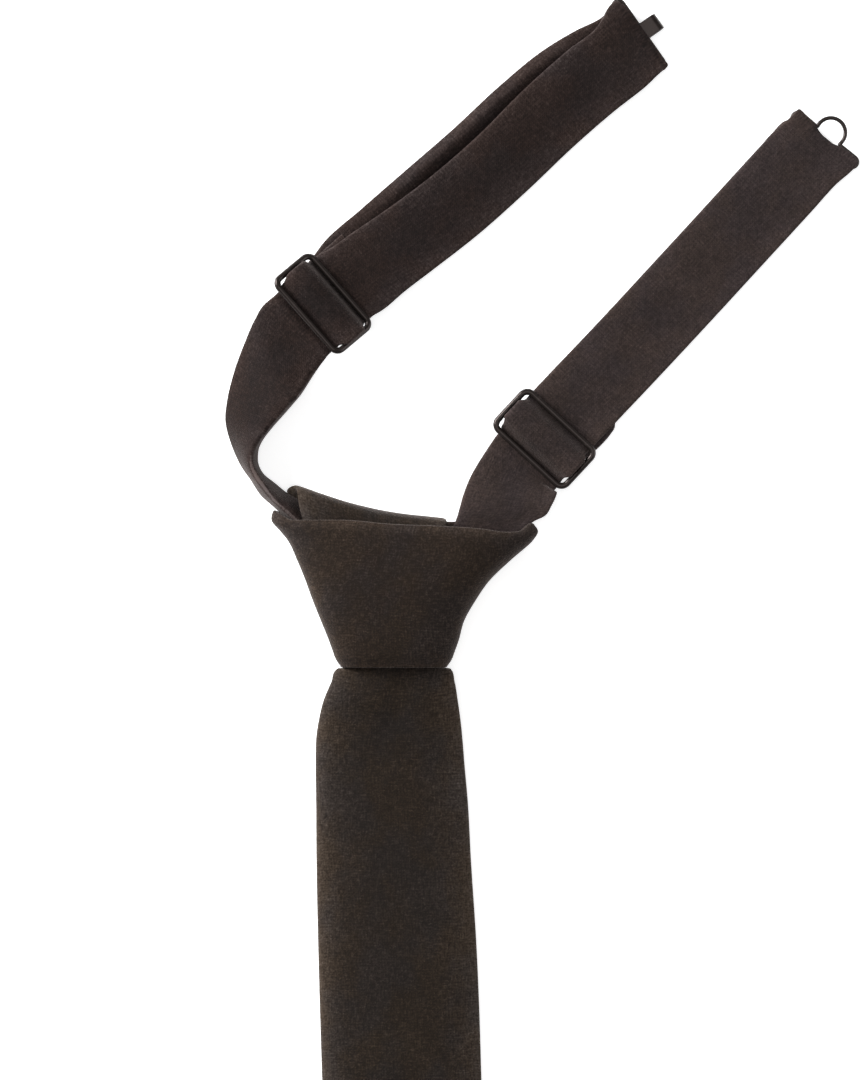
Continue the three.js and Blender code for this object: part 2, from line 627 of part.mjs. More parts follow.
// Left strap from its hidden end in the knot, folded lengthwise where it leaves, to its slider
const LEFT_START = [
  { ax: -2.0, ay: 12.0, bx: -2.0, by: 30.0, z: 5.4 },
  { ax: -9.0, ay: 15.0, bx: -8.0, by: 32.0, z: 5.4 },
  { ax: -17.5, ay: 23.5, bx: -13.0, by: 35.5, z: 5.4, arch: 2.4 },
  { ax: -23.0, ay: 32.2, bx: -19.4, by: 37.6, az: 5.6, bz: 6.0, arch: 3.0 },
  { ax: -26.7, ay: 36.7, bx: -23.8, by: 40.9, az: 6.0, bz: 6.8, arch: 4.2 },
  { ax: -30.3, ay: 40.1, bx: -27.1, by: 42.8, az: 4.8, bz: 6.6, arch: 5.6 },
  { ax: -33.2, ay: 42.7, bx: -29.8, by: 44.9, az: 2.8, bz: 3.6, arch: 7.8 },
  { ax: -35.8, ay: 46.6, bx: -33.2, by: 47.7, z: 1.6, arch: 8.8 },
  { ax: -38.4, ay: 50.4, bx: -34.5, by: 50.9, z: 1.2, arch: 9.0 },
  { ax: -41.0, ay: 56.4, bx: -34.3, by: 53.7, z: 1.0, arch: 8.8, at: -0.25 },
  { ax: -42.2, ay: 61.3, bx: -33.0, by: 56.5, z: 1.0, arch: 8.2, at: -0.35 },
  { ax: -41.9, ay: 65.4, bx: -31.0, by: 59.1, z: 1.2, arch: 7.6, at: -0.3 },
  { ax: -40.1, ay: 73.2, bx: -26.6, by: 64.0, z: 1.8, arch: 6.0, at: -0.2 },
  { ax: -37.7, ay: 79.8, bx: -23.1, by: 68.1, z: 2.8, arch: 4.6 },
  { ax: -34.8, ay: 86.1, bx: -20.0, by: 72.8, z: 4.6, arch: 2.6 },
  { ax: -31.8, ay: 90.3, bx: -17.1, by: 76.4, z: 6.4, arch: 0.8 },
];

// Front layer from the left slider to the hook, by both edges
const LEFT_FRONT = [
  { ax: -16.2, ay: 103.9, bx: -3.0, by: 88.6, az: 3.5, bz: 3.4 },
  { ax: -10.5, ay: 107.9, bx: 2.3, by: 93.1, az: 3.4, bz: 3.1 },
  { ax: -3.0, ay: 113.0, bx: 9.3, by: 98.5, az: 3.3, bz: 2.4 },
  { ax: 9.6, ay: 122.4, bx: 21.4, by: 108.0, az: 3.2, bz: 1.8 },
  { ax: 20.6, ay: 132.0, bx: 32.7, by: 118.1, az: 3.2, bz: 1.7 },
  { ax: 32.6, ay: 144.0, bx: 44.8, by: 129.6, az: 3.2, bz: 1.8 },
  { ax: 43.4, ay: 153.6, bx: 55.1, by: 138.5, az: 3.4, bz: 2.4 },
  { ax: 50.6, ay: 159.4, bx: 62.3, by: 144.7, az: 3.8, bz: 3.6 },
];

// Back layer from the hook home again. It lies on its face here, so that a curl below zero lifts
// it: it stands up in a ridge beside the front layer.
const LEFT_BACK = [
  { ax: 51.9, ay: 162.0, bx: 62.4, by: 145.4, az: 1.3, bz: 1.1 },
  { ax: 45.4, ay: 158.6, bx: 59.0, by: 143.0, az: 1.5, bz: 0.8, curl: -0.3 },
  { ax: 36.8, ay: 153.4, bx: 50.0, by: 138.4, az: 1.4, bz: BACK_Z, curl: -1.2 },
  { ax: 26.6, ay: 145.1, bx: 39.4, by: 130.4, az: 1.3, bz: BACK_Z, curl: -2.0 },
  { ax: 14.2, ay: 133.6, bx: 27.0, by: 119.2, az: 1.3, bz: BACK_Z, curl: -2.4 },
  { ax: 2.2, ay: 123.2, bx: 15.4, by: 108.4, az: 1.2, bz: BACK_Z, curl: -2.0 },
  { ax: -8.4, ay: 114.0, bx: 4.6, by: 98.6, az: 0.7, bz: BACK_Z, curl: -0.3 },
];
const TILTED_RISE = [
  { run: 9.5, z: BACK_Z, wide: 2.1 }, { run: 6.4, z: BACK_Z, wide: 1.1 },
  { run: 4.6, z: 0.65, wide: 0.4 }, { run: 3.2, z: 1.35, wide: 0 },
  { run: 1.9, z: 2.6, wide: 0 }, { run: 0.9, z: 4.1, wide: 0 },
];
const TILTED_TAB = [
  { run: 2.15, z: 5.9 }, { run: 2.7, z: 4.0 }, { run: 4.05, z: 2.4 }, { run: 5.6, z: TAB_Z },
  { run: 15.0, z: TAB_Z },
];

function leftStrapRows() {
  const { at, along } = SLIDER_LEFT;
  const half = STRAP_WIDTH / 2;
  const level = (row) => acrossRow(at, along, row.run, row.z, half, half);
  const hookAlong = plan(0.76, 0.65).normalize();
  return [
    ...LEFT_START.map(edgeRow),
    ...overBarRows(SLIDER_LEFT),
    ...LEFT_FRONT.map(edgeRow),
    ...claspFoldRows(HOOK, hookAlong),
    ...LEFT_BACK.map(edgeRow),
    ...TILTED_RISE.map((row) => acrossRow(at, along, row.run, row.z, half + row.wide, half)),
    ...barLoopRows(SLIDER_LEFT, STRAP_WIDTH),
    ...TILTED_TAB.map(level),
  ];
}

const STRAP_PROFILE = {
  places: [-1, -0.96, CURL_CREST, CURL_END, 0, 0.3, 0.7, 0.96, 1],
  squareOver: 8,
  squareUnder: 8,
  sharpness: 0.25,
};

// Nothing of a strap lies lower than the surface.
function strapGeometry(rows) {
  const rowsOnSurface = smoothRows(rows).map((row) => ({
    ...row, az: Math.max(row.az, BACK_Z), bz: Math.max(row.bz, BACK_Z),
  }));
  return ribbon(rowsOnSurface, STRAP_PROFILE);
}

addPiece('strap_right', strapGeometry(rightStrapRows()), clothBlack());
addPiece('strap_left', strapGeometry(leftStrapRows()), clothBlack());

// Sliders: a wire frame with a middle bar, in its own plane, the strap running along local Y.
function sliderGeometry() {
  const halfLength = (SLIDER_LENGTH - SLIDER_WIRE) / 2;
  const halfWidth = OUTER_BAR;
  const corner = SLIDER_CORNER - SLIDER_WIRE / 2;
  const outline = [
    ...arcPoints(plan(halfLength - corner, -halfWidth + corner), corner, -90, 0, 4),
    ...arcPoints(plan(halfLength - corner, halfWidth - corner), corner, 0, 90, 4),
    ...arcPoints(plan(-halfLength + corner, halfWidth - corner), corner, 90, 180, 4),
    ...arcPoints(plan(-halfLength + corner, -halfWidth + corner), corner, 180, 270, 4),
  ];
  const bar = new THREE.CylinderGeometry(
    SLIDER_WIRE / 2, SLIDER_WIRE / 2, halfLength * 2, 10, 1, false, Math.PI / 10,
  );
  bar.rotateZ(Math.PI / 2);
  return joined([wireLoop(outline, SLIDER_WIRE / 2, 10), bar]);
}

function placeSlider(name, slider) {
  const mesh = addPiece(name, sliderGeometry(), paintedBlack());
  mesh.rotation.order = 'ZXY';
  mesh.rotation.z = slider.along.angle() - Math.PI / 2;
  mesh.rotation.x = -slider.tilt;
  mesh.position.set(slider.at.x, slider.at.y, sliderZ(slider));
}

placeSlider('slider_right', SLIDER_RIGHT);
placeSlider('slider_left', SLIDER_LEFT);

// Clasp frames: a long loop of wire whose inner bar lies in the strap's fold, the clasp facing
// local +Y.
function claspEnds(points) {
  const half = (CLASP_LENGTH - CLASP_WIDTH) / 2;
  return [
    ...arcPoints(plan(half, 0), CLASP_BAR, -90, 90, 6),
    ...points,
    ...arcPoints(plan(-half, 0), CLASP_BAR, 90, 270, 6),
  ];
}

function eyeGeometry() {
  const foot = Math.asin((EYE_REACH - CLASP_BAR) / EYE_RADIUS);
  const degrees = THREE.MathUtils.radToDeg(foot);
  const ring = arcPoints(plan(0, EYE_REACH), EYE_RADIUS, -degrees, 180 + degrees, 16);
  return joined([wireLoop(claspEnds(ring), CLASP_WIRE / 2, 8)]);
}

function hookGeometry() {
  const frame = wireLoop(claspEnds([]), CLASP_WIRE / 2, 8);
  const half = TONGUE_WIDTH / 2;
  const foot = CLASP_BAR + TONGUE_FILLET;
  const top = new THREE.Shape();
  top.moveTo(-half - TONGUE_FILLET, CLASP_BAR);
  top.lineTo(half + TONGUE_FILLET, CLASP_BAR);
  top.absarc(half + TONGUE_FILLET, foot, TONGUE_FILLET, -Math.PI / 2, -Math.PI, true);
  top.lineTo(half, TONGUE_REACH - TONGUE_THICK);
  top.lineTo(-half, TONGUE_REACH - TONGUE_THICK);
  top.absarc(-half - TONGUE_FILLET, foot, TONGUE_FILLET, 0, -Math.PI / 2, true);
  const plate = new THREE.ExtrudeGeometry(top, {
    depth: TONGUE_THICK, bevelEnabled: false, curveSegments: 4,
  });
  plate.translate(0, 0, -TONGUE_THICK / 2);
  // The bend and the return, drawn from the side: x here is along the tongue and y is height.
  const side = new THREE.Shape();
  const middle = -(TONGUE_THICK + 1.2) / 2;
  const outer = TONGUE_THICK / 2 - middle;
  const inner = outer - TONGUE_THICK;
  const centre = TONGUE_REACH - outer;
  side.moveTo(centre, middle + outer);
  side.absarc(centre, middle, outer, Math.PI / 2, -Math.PI / 2, true);
  side.lineTo(TONGUE_REACH - TONGUE_RETURN, middle - outer);
  side.lineTo(TONGUE_REACH - TONGUE_RETURN, middle - inner);
  side.lineTo(centre, middle - inner);
  side.absarc(centre, middle, inner, -Math.PI / 2, Math.PI / 2, false);
  const bend = new THREE.ExtrudeGeometry(side, {
    depth: TONGUE_WIDTH, bevelEnabled: false, curveSegments: 8,
  });
  bend.translate(0, 0, -half);
  bend.applyMatrix4(new THREE.Matrix4().set(
    0, 0, 1, 0,
    1, 0, 0, 0,
    0, 1, 0, 0,
    0, 0, 0, 1,
  ));
  return joined([frame, plate, bend]);
}

function placeClasp(name, geometry, clasp, along) {
  const mesh = addPiece(name, geometry, paintedBlack());
  const skew = THREE.MathUtils.degToRad(clasp.skew);
  mesh.rotation.z = along.angle() - Math.PI / 2 + skew;
  mesh.position.set(clasp.at.x, clasp.at.y, clasp.z);
}

placeClasp('eye', eyeGeometry(), EYE, SLIDER_RIGHT.along);
placeClasp('hook', hookGeometry(), HOOK, plan(0.76, 0.65).normalize());

// The layout is moved so that the origin is the middle of its box, on the surface it lies on.
const box = new THREE.Box3().setFromObject(layout, true);
layout.position.set(-(box.min.x + box.max.x) / 2, -(box.min.y + box.max.y) / 2, -box.min.z);

const tie = new THREE.Group();
tie.add(layout);
export default tie;
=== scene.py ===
"""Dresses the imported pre-tied necktie: its cloth, its wire hardware, the floor, lights and camera.

Lengths are in millimetres, drawn around the middle of the knot's lower mouth as the CAD layout is:
+Y runs to the neck band and -Y to the tie's point. Each mesh is moved onto the frame at the end.
"""
import math

import bpy
import numpy as np
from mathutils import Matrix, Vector


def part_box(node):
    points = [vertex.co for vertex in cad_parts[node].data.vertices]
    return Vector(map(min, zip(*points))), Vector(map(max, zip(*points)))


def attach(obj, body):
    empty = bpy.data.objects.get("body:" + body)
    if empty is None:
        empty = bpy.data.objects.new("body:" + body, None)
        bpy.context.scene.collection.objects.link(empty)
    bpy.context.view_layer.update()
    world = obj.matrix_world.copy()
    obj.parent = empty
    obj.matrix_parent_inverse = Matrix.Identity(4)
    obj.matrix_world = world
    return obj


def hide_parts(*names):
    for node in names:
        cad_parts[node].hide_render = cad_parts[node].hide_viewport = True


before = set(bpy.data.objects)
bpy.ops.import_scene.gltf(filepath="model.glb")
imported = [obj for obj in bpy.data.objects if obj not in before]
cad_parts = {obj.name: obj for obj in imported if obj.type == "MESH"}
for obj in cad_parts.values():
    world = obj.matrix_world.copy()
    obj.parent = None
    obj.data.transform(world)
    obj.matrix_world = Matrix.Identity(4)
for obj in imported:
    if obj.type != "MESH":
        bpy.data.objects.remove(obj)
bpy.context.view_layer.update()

MM = 0.001

# Cloth: the straps, the blade's ply in its roll, its thickness over and under its middle line and
# its outline below the knot, the wrap's wall, squareness and flat-pressed back, and the space
# between layers
STRAP_WIDTH = 20.4
STRAP_THICK = 1.1
CLOTH_PLY = 2.2
BLADE_OVER = 2.6
BLADE_UNDER = 1.5
BLADE_SHOULDER_Y = -420
BLADE_SHOULDER_WIDTH = 43.8
BLADE_SLANT = 0.0383
TIP_WIDTH = 0.8
WRAP_WALL = 1.9
WRAP_SQUARE = 3
WRAP_PRESS = 0.8
GAP = 0.3

# Hardware: the sliders, the frame of both clasps, the eye's ring and the hook's tongue
SLIDER_LENGTH = 25
SLIDER_WIDTH = 14
SLIDER_WIRE = 1.6
SLIDER_CORNER = 2.7
CLASP_LENGTH = 21.2
CLASP_WIDTH = 3.7
CLASP_WIRE = 1
EYE_RADIUS = 3.65
EYE_REACH = 2.4
TONGUE_WIDTH = 4.4
TONGUE_THICK = 0.9
TONGUE_REACH = 6.35
TONGUE_RETURN = 4.4
TONGUE_FILLET = 0.9
TONGUE_SPACE = 1.2

# Heights and radii of the layers in a slider and a clasp, and a strap's room there
BACK_Z = STRAP_THICK / 2
TAB_Z = BACK_Z + STRAP_THICK + GAP
FRONT_Z = TAB_Z + STRAP_THICK + GAP
FRONT_PRESS = 0.05
BAR_Z = FRONT_Z + STRAP_THICK / 2 + GAP + SLIDER_WIRE / 2
OUTER_BAR = (SLIDER_WIDTH - SLIDER_WIRE) / 2
LOOP_RADIUS = SLIDER_WIRE / 2 + GAP + STRAP_THICK / 2
OVER_RADIUS = LOOP_RADIUS + STRAP_THICK + GAP
FOLD_RADIUS = CLASP_WIRE / 2 + GAP + STRAP_THICK / 2
CLASP_BAR = (CLASP_WIDTH - CLASP_WIRE) / 2
CLASP_ROOM = (CLASP_LENGTH - 2 * CLASP_WIRE) / 2 - GAP
SLOT_FILL = SLIDER_LENGTH / 2 - SLIDER_WIRE - GAP - STRAP_WIDTH / 2

# How fine the meshes are. Rows lie at least a span apart, and a bend divides only longer spans.
CLOTH_STEP = 0.8
BEND_STEP = math.radians(9)
SLANT_STEP = 0.02
SHORTEST_SPAN = 0.05
DIVIDED_SPAN = 0.3
EDGE_CROWDING = 0.65
WIRE_SIDES = 28
PATH_STEP = 0.16
ARC_PIECES = 24
RING_PIECES = 90

# Angles in degrees from which an edge of a mesh is sharp
CLOTH_SHARP = 50
METAL_SHARP = 30


def fitting(x, y, along, z, tilt=0.0, skew=0.0, **more):
    """Where a slider or a clasp lies along its strap.

    Tilt raises a slider's knot side, and skew turns a clasp out of its strap's direction, both
    in degrees.
    """
    tilt = math.radians(tilt)
    along = np.array(along) / math.hypot(*along)
    return {
        "at": np.array([x, y]), "along": along, "beside": np.array([along[1], -along[0]]),
        "slope": math.tan(math.radians(skew)), "z": z + OUTER_BAR * math.sin(tilt), "tilt": tilt,
        "turn": math.radians(math.degrees(math.atan2(along[1], along[0])) - 90 + skew), **more,
    }


# Spread is how much wider a strap is over the middle bar, at edge a and edge b, and full is how
# much of that it keeps between the bars. Corner is how far its upper corner stands out beside a
# clasp.
RIGHT_ALONG = (0.68, 0.733)
CLASP_Z = FOLD_RADIUS + STRAP_THICK / 2
SLIDER_RIGHT = fitting(
    37.25, 56.45, RIGHT_ALONG, BAR_Z, spread_a=0.6, spread_b=0.6, full_a=0, full_b=0,
)
SLIDER_LEFT = fitting(
    -17.85, 90.0, (0.752, 0.659), BAR_Z, 24, spread_a=0.5, spread_b=1.3, full_a=0.8, full_b=1,
)
EYE = fitting(107.3, 131.1, RIGHT_ALONG, CLASP_Z, skew=4.0, corner=0)
HOOK = fitting(60.8, 157.3, (0.76, 0.65), CLASP_Z + 0.7, skew=-5.5, corner=0.6)

# From the layout to the frame: the right slider is drawn around its own place
slider_low, slider_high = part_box("slider_right")
SHIFT = np.array([
    (slider_low.x + slider_high.x) / 2 / MM - SLIDER_RIGHT["at"][0],
    (slider_low.y + slider_high.y) / 2 / MM - SLIDER_RIGHT["at"][1],
    0,
])


def table(columns, *rows):
    """Rows of a table with named columns. Values left out at the end of a row are 0."""
    names = columns.split()
    return [dict(zip(names, [*row, *[0] * len(names)])) for row in rows]


# Smooth curves through tables

def limited_slopes(places, values):
    """Slopes of a smooth curve through the values that doesn't overshoot them."""
    span = np.diff(places)[:, None]
    rise = np.diff(values, axis=0) / span
    slopes = np.empty_like(values)
    slopes[0] = rise[0]
    slopes[-1] = rise[-1]
    before, after = rise[:-1], rise[1:]
    part = span[:-1] / (span[:-1] + span[1:])
    mean = before * (1 - part) + after * part
    limit = np.minimum(np.abs(before), np.abs(after)) * np.where(before * after > 0, 3, 1)
    slopes[1:-1] = np.clip(mean, -limit, limit)
    return slopes


def curve_values(places, values, at):
    """The values of the smooth curve through a table, at any places."""
    places = np.asarray(places, float)
    values = np.asarray(values, float).reshape(len(places), -1)
    slopes = limited_slopes(places, values)
    at = np.clip(np.asarray(at, float), places[0], places[-1])
    i = np.clip(np.searchsorted(places, at, side="right") - 1, 0, len(places) - 2)
    span = (places[i + 1] - places[i])[..., None]
    t = (at - places[i])[..., None] / span
    return (
        values[i] * (2 * t ** 3 - 3 * t ** 2 + 1)
        + slopes[i] * span * (t ** 3 - 2 * t ** 2 + t)
        + values[i + 1] * (3 * t ** 2 - 2 * t ** 3)
        + slopes[i + 1] * span * (t ** 3 - t ** 2)
    )


def curves_at(rows, place, names, at):
    """For each named column of a table its smooth curve's values, at places of another column."""
    values = [[row[name] for name in names.split()] for row in rows]
    return np.moveaxis(curve_values([row[place] for row in rows], values, at), -1, 0)


def normalized(vectors):
    return vectors / np.maximum(np.linalg.norm(vectors, axis=-1, keepdims=True), 1e-9)


def eased(part):
    """From 0 to 1, level at both."""
    return part * part * (3 - 2 * part)


def run_lengths(points):
    """How far along a line of points each one lies."""
    return np.concatenate([[0], np.cumsum(np.linalg.norm(np.diff(points, axis=0), axis=1))])


def full_turn(count):
    """Even angles all the way round."""
    return 2 * math.pi * np.arange(count) / count


def ring_faces(rings, sides, is_closed=False):
    """Faces between rings of points. Rings that meet end to end run the other way round."""
    count = rings if is_closed else rings - 1
    i, k = np.meshgrid(np.arange(count), np.arange(sides), indexing="ij")
    here, there = i * sides, (i + 1) % rings * sides
    after = (k + 1) % sides
    corners = [here + k, here + after, there + after, there + k]
    if is_closed:
        corners = [corners[0], *corners[:0:-1]]
    return np.stack(corners, axis=-1).reshape(-1, 4).tolist()


def rod_faces(rings, sides):
    """Faces of a rod, closed by one face at each end."""
    return [
        *ring_faces(rings, sides),
        list(range(sides))[::-1],
        [(rings - 1) * sides + k for k in range(sides)],
    ]


# Ribbons of cloth: a row has edge a, edge b, thickness over and under the line between them, the
# arch of its middle, where across the width the arch has its crest, how far it bows down, and how
# far the cloth beside edge a curls up

def ribbon_row(a, b, over, under, arch=0.0, at=0.0, bow=0.0, curl=0.0):
    return [*a, *b, over, under, arch, at, bow, curl]


EDGES = "ax ay az bx by bz"


def edge_rows(rows, thick=STRAP_THICK):
    """Rows from a table of edge a, edge b and any of the other values."""
    half = thick / 2
    return [
        [*(row[name] for name in EDGES.split()), half, half,
         *(row.get(name, 0) for name in ("arch", "at", "bow", "curl"))]
        for row in rows
    ]


def row_middles(rows):
    return (rows[:, 0:3] + rows[:, 3:6]) / 2


def smooth_rows(rows, lowest):
    """Rows close together, on a smooth curve through a table's rows, none below a height."""
    rows = np.array(rows, float)
    steps = np.diff(row_middles(rows), axis=0)
    span = np.maximum(np.linalg.norm(steps, axis=1), SHORTEST_SPAN)
    places = np.concatenate([[0], np.cumsum(span)])
    heading = normalized(steps)
    at = []
    for i, length in enumerate(span):
        before = heading[max(i - 1, 0)]
        after = heading[min(i + 1, len(span) - 1)]
        bend = math.acos(float(np.clip(before @ after, -1, 1)))
        bends = math.ceil(bend / BEND_STEP) if length > DIVIDED_SPAN else 1
        count = max(math.ceil(length / CLOTH_STEP), bends)
        at.extend(places[i] + length * np.arange(count) / count)
    at.append(places[-1])
    rows = curve_values(places, rows, at)
    for height in (2, 5):
        rows[:, height] = np.maximum(rows[:, height], lowest)
    return rows


def arch_height(across, at, sharpness):
    """Height of an arch over its chord: 1 at the crest, 0 at both edges, creased if it is sharp."""
    side = np.where(across < at, (at - across) / (1 + at), (across - at) / (1 - at))
    rounded = np.sqrt(side * side + sharpness * sharpness) - sharpness
    return 1 - rounded / (np.sqrt(1 + sharpness * sharpness) - sharpness)


# A strap's long fold: how round its crest is, the slit between its plies, how far from the crest
# that starts, how wide the painted highlight on the crest is, how much less painted highlight the
# edges get in its lee, the rise, as a share of the width, from which cloth counts as folded, and how
# much more makes it wholly so
FOLD_ROUND = 0.3
FOLD_SLIT = 0.03
CREST_REACH = 0.06
CREST_LIGHT_WIDTH = 0.8
FOLD_LEE = 3.5
FOLD_LEAST = 0.3
FOLD_RANGE = 0.35

# The curl beside edge a: where its crest and its end lie across the ribbon, and how soft it is
CURL_CREST = -0.74
CURL_END = -0.42
CURL_SOFT = 0.4


def curl_height(across):
    """Height of the ridge beside edge a: 1 at its crest, 0 at the edge and past its end."""
    outer = (across + 1) / (CURL_CREST + 1)
    inner = (CURL_END - across) / (CURL_END - CURL_CREST)
    rise = np.clip(np.minimum(outer, inner), 0, 1)
    return eased(rise) * CURL_SOFT + rise * (1 - CURL_SOFT)


def edge_places(count):
    """Places across a ribbon from -1 to 1, closest together at its two edges."""
    part = np.linspace(-1, 1, count)
    crowded = np.sin(part * math.pi / 2)
    return (1 - EDGE_CROWDING) * part + EDGE_CROWDING * crowded


def ribbon_surface(rows, profile, places, is_over):
    """Points of one face of a ribbon, and their "cloth" values, as add_mesh has them."""
    middles = row_middles(rows)
    along = normalized(np.gradient(middles, axis=0))
    chord = rows[:, 3:6] - rows[:, 0:3]
    across = normalized(chord - along * np.sum(chord * along, axis=1, keepdims=True))
    up = np.cross(across, along)
    arch, at, bow, curl = (rows[:, k:k + 1] for k in range(8, 12))
    width = np.linalg.norm(chord, axis=1, keepdims=True)
    crown = np.maximum(profile["sharpness"], FOLD_ROUND * arch / width)
    folded = np.clip((arch / width - FOLD_LEAST) / FOLD_RANGE, 0, 1)
    lift = normalized(up * (1 - folded) + np.array([0, 0, 1]) * folded)

    def middle_line(u):
        height = arch * arch_height(u, at, crown) + curl * curl_height(u)
        lifted = height[..., None] * lift[:, None]
        line = middles[:, None] + chord[:, None] * (u / 2)[..., None] + lifted
        line[..., 1] -= bow * (1 - u * u)
        return line

    u = np.broadcast_to(places, (len(rows), len(places)))
    line = middle_line(u)
    slant = (
        middle_line(np.minimum(u + SLANT_STEP, 1)) - middle_line(np.maximum(u - SLANT_STEP, -1))
    )
    normal = normalized(np.cross(slant, np.broadcast_to(along[:, None], slant.shape)))
    length = run_lengths(middles)
    half_girth = np.hypot(width / 2, arch)
    # The third flat value is how far a point is from a folded edge, and sets the painted highlights:
    # it grows by the lee in a fold and is below 0 on a fold's crest
    from_fold = (
        np.abs(u - at) * half_girth + (1 - folded) * STRAP_WIDTH
        - CREST_LIGHT_WIDTH * folded * (1 - np.abs(at))
    )
    flat = np.stack([
        u * half_girth,
        np.broadcast_to(length[:, None], u.shape),
        np.minimum((1 - np.abs(u)) * half_girth + folded * FOLD_LEE, from_fold),
    ], axis=-1)
    square = profile["square_over"] if is_over else profile["square_under"]
    edge = np.sqrt(np.maximum(1 - np.abs(u) ** square, 0))
    reach = (rows[:, 6:7] if is_over else -rows[:, 7:8]) * edge
    if "relief" in profile:
        reach = reach + profile["relief"](line, flat, u, is_over) * edge
    surface = line + normal * reach[..., None]
    if is_over:
        return surface, flat
    # Inside a narrow fold the two plies meet and don't pass through each other
    side = np.sign(u - at)
    from_crest = surface - middle_line(at)
    away = np.sum(from_crest * across[:, None], axis=2) * side
    rise = np.sum(from_crest * lift[:, None], axis=2)
    meets = (np.abs(u - at) >= CREST_REACH) & (away < FOLD_SLIT)
    push = np.where(meets, (FOLD_SLIT - away) * side, 0)
    drop = np.where(meets, np.minimum(rise, -rows[:, 7:8] - FOLD_SLIT) - rise, 0)
    surface = surface + push[..., None] * across[:, None] + drop[..., None] * lift[:, None]
    return surface, flat


def ribbon_mesh(rows, profile):
    """A closed strip of cloth: points, faces and the "cloth" value of each face's corners."""
    places = edge_places(profile["count"])
    last = len(places) - 1
    over, flat_over = ribbon_surface(rows, profile, places, True)
    under, flat_under = ribbon_surface(rows, profile, places[last - 1:0:-1], False)
    points = np.concatenate([over, under], axis=1)
    flat = np.concatenate([flat_over, flat_under], axis=1).reshape(-1, 3)
    loop = points.shape[1]
    faces = ring_faces(len(rows), loop)
    for start, is_end in ((0, False), ((len(rows) - 1) * loop, True)):
        for k in range(last):
            cap = [
                start + k, start + (loop - k) % loop, start + (loop - k - 1) % loop, start + k + 1,
            ]
            cap = list(dict.fromkeys(cap))
            faces.append(cap[::-1] if is_end else cap)
    return points.reshape(-1, 3), faces, flat[np.concatenate(faces)]


def new_object(name, data):
    """A new object, in the scene."""
    thing = bpy.data.objects.new(name, data)
    bpy.context.scene.collection.objects.link(thing)
    return thing


def add_mesh(name, points, faces, cloth=None, sharp=None):
    """A piece from points in the layout.

    "cloth" gives a corner's place on the flat cloth, and how far it is from a folded edge, which is
    below 0 on the crest of a long fold. The cloth material paints highlights where that distance is
    small.
    """
    mesh = bpy.data.meshes.new(name)
    mesh.from_pydata(((np.asarray(points) + SHIFT) * MM).tolist(), [], faces)
    if cloth is not None:
        mesh.attributes.new("cloth", "FLOAT_VECTOR", "CORNER").data.foreach_set(
            "vector", cloth.astype(np.float32).ravel(),
        )
    mesh.shade_smooth()
    if sharp:
        mesh.set_sharp_from_angle(angle=math.radians(sharp))
    return new_object(name, mesh)


# Blade

LOOP_ROWS = table(
    EDGES + " bow",
    (10.0, 9.0, 3.3, -10.5, 9.0, 3.3),
    (12.5, 18.0, 3.3, -15.0, 18.5, 3.3),
    (13.6, 25.0, 3.3, -18.6, 26.5, 3.3, 0.3),
    (13.4, 31.8, 3.4, -22.4, 35.8, 3.6, 0.9),
    (13.2, 34.0, 3.7, -25.4, 40.6, 3.7, 1.6),
    (13.0, 35.5, 4.6, -26.9, 43.3, 4.4, 2.2),
    (12.7, 36.4, 7.3, -24.9, 44.8, 7.6, 2.5),
    (12.8, 35.5, 10.2, -24.2, 43.5, 10.4, 2.3),
    (12.9, 32.2, 11.0, -23.7, 40.0, 11.3, 1.5),
    (13.2, 27.0, 9.8, -21.6, 32.5, 10.7, 0.4),
)
HANG_ROWS = table(
    "y left right z over under arch",
    (21.0, -18.0, 13.6, 8.7, 1.1, 1.1, 1.8),
    (12.0, -14.6, 13.0, 6.9, 1.5, 1.5, 1.6),
    (4.0, -12.3, 11.8, 5.4, 2.0, 2.0, 0.8),
    (0.6, -12.0, 11.5, 4.9, 2.2, 2.1, 0.6),
    (-0.5, -12.2, 11.7, 4.75, 2.3, 2.1, 0.5),
    (-0.8, -14.4, 13.9, 4.72, 2.3, 2.1, 0.5),
    (-4.0, -15.8, 14.9, 4.3, 2.5, 2.1, 0.4),
    (-8.8, -17.8, 15.7, 3.6, 2.7, 2.0, 0.2),
    (-13.8, -19.0, 16.4, 2.8, 2.7, 1.8),
    (-18.8, -19.7, 16.9, 2.2, 2.7, 1.6),
    (-25.0, -19.8, 17.4, 1.7, 2.6, 1.5),
    (-34.0, -19.7, 18.2, 1.5, 2.6, 1.5),
    (-48.8, -19.6, 19.0, 1.5, 2.6, 1.5),
    (-68.8, -19.2, 20.3, 1.5, 2.6, 1.5),
    (-84.0, -18.8, 21.0, 1.5, 2.6, 1.5),
    (-103.5, -18.2, 21.6, 1.5, 2.6, 1.5),
)
# Steps of the straight part and of the tip, and how much thinner the tip gets
STRAIGHT_STEP = 2.0
TIP_STEP = 0.7
TIP_THINNING = 0.45
# Waves of the front, as depth, length and phase, and the dimple under the knot
BLADE_WAVES = ((0.08, 22, 0.4), (0.03, 7, 2.0))
DIMPLE_DEPTH = 0.75
DIMPLE = {"x": 1.5, "y": -6, "wide": 4.5, "high": 11, "lean": 0.25}
# Seams of the back: the closing seam, the facing's below the shoulder and the tack's dent
SEAM_DEPTH = 0.5
SEAM_WIDTH = 0.5
FACING_WIDTH = 9
FACING_DEPTH = 0.22
FACING_START = 4
TACK_Y = BLADE_SHOULDER_Y + 26
TACK_LENGTH = 5
TACK_THREADS = 9
TACK_PITCH = 2.3
TACK_DENT = {"depth": 0.3, "half_height": 2.6, "margin": 0.7}
# Sewing thread: its radius and height, how square its ends are and how thin they get, and the
# slip stitches along the closing seam
THREAD = 0.17
THREAD_Z = 0.22
THREAD_SIDES = 8
THREAD_RINGS = 7
THREAD_SQUARE = 6
THREAD_LEAST = 0.02
SLIP_STEP = 14
SLIP_REACH = (0.6, 0.8)
SLIP_ENDS = (8, 4)


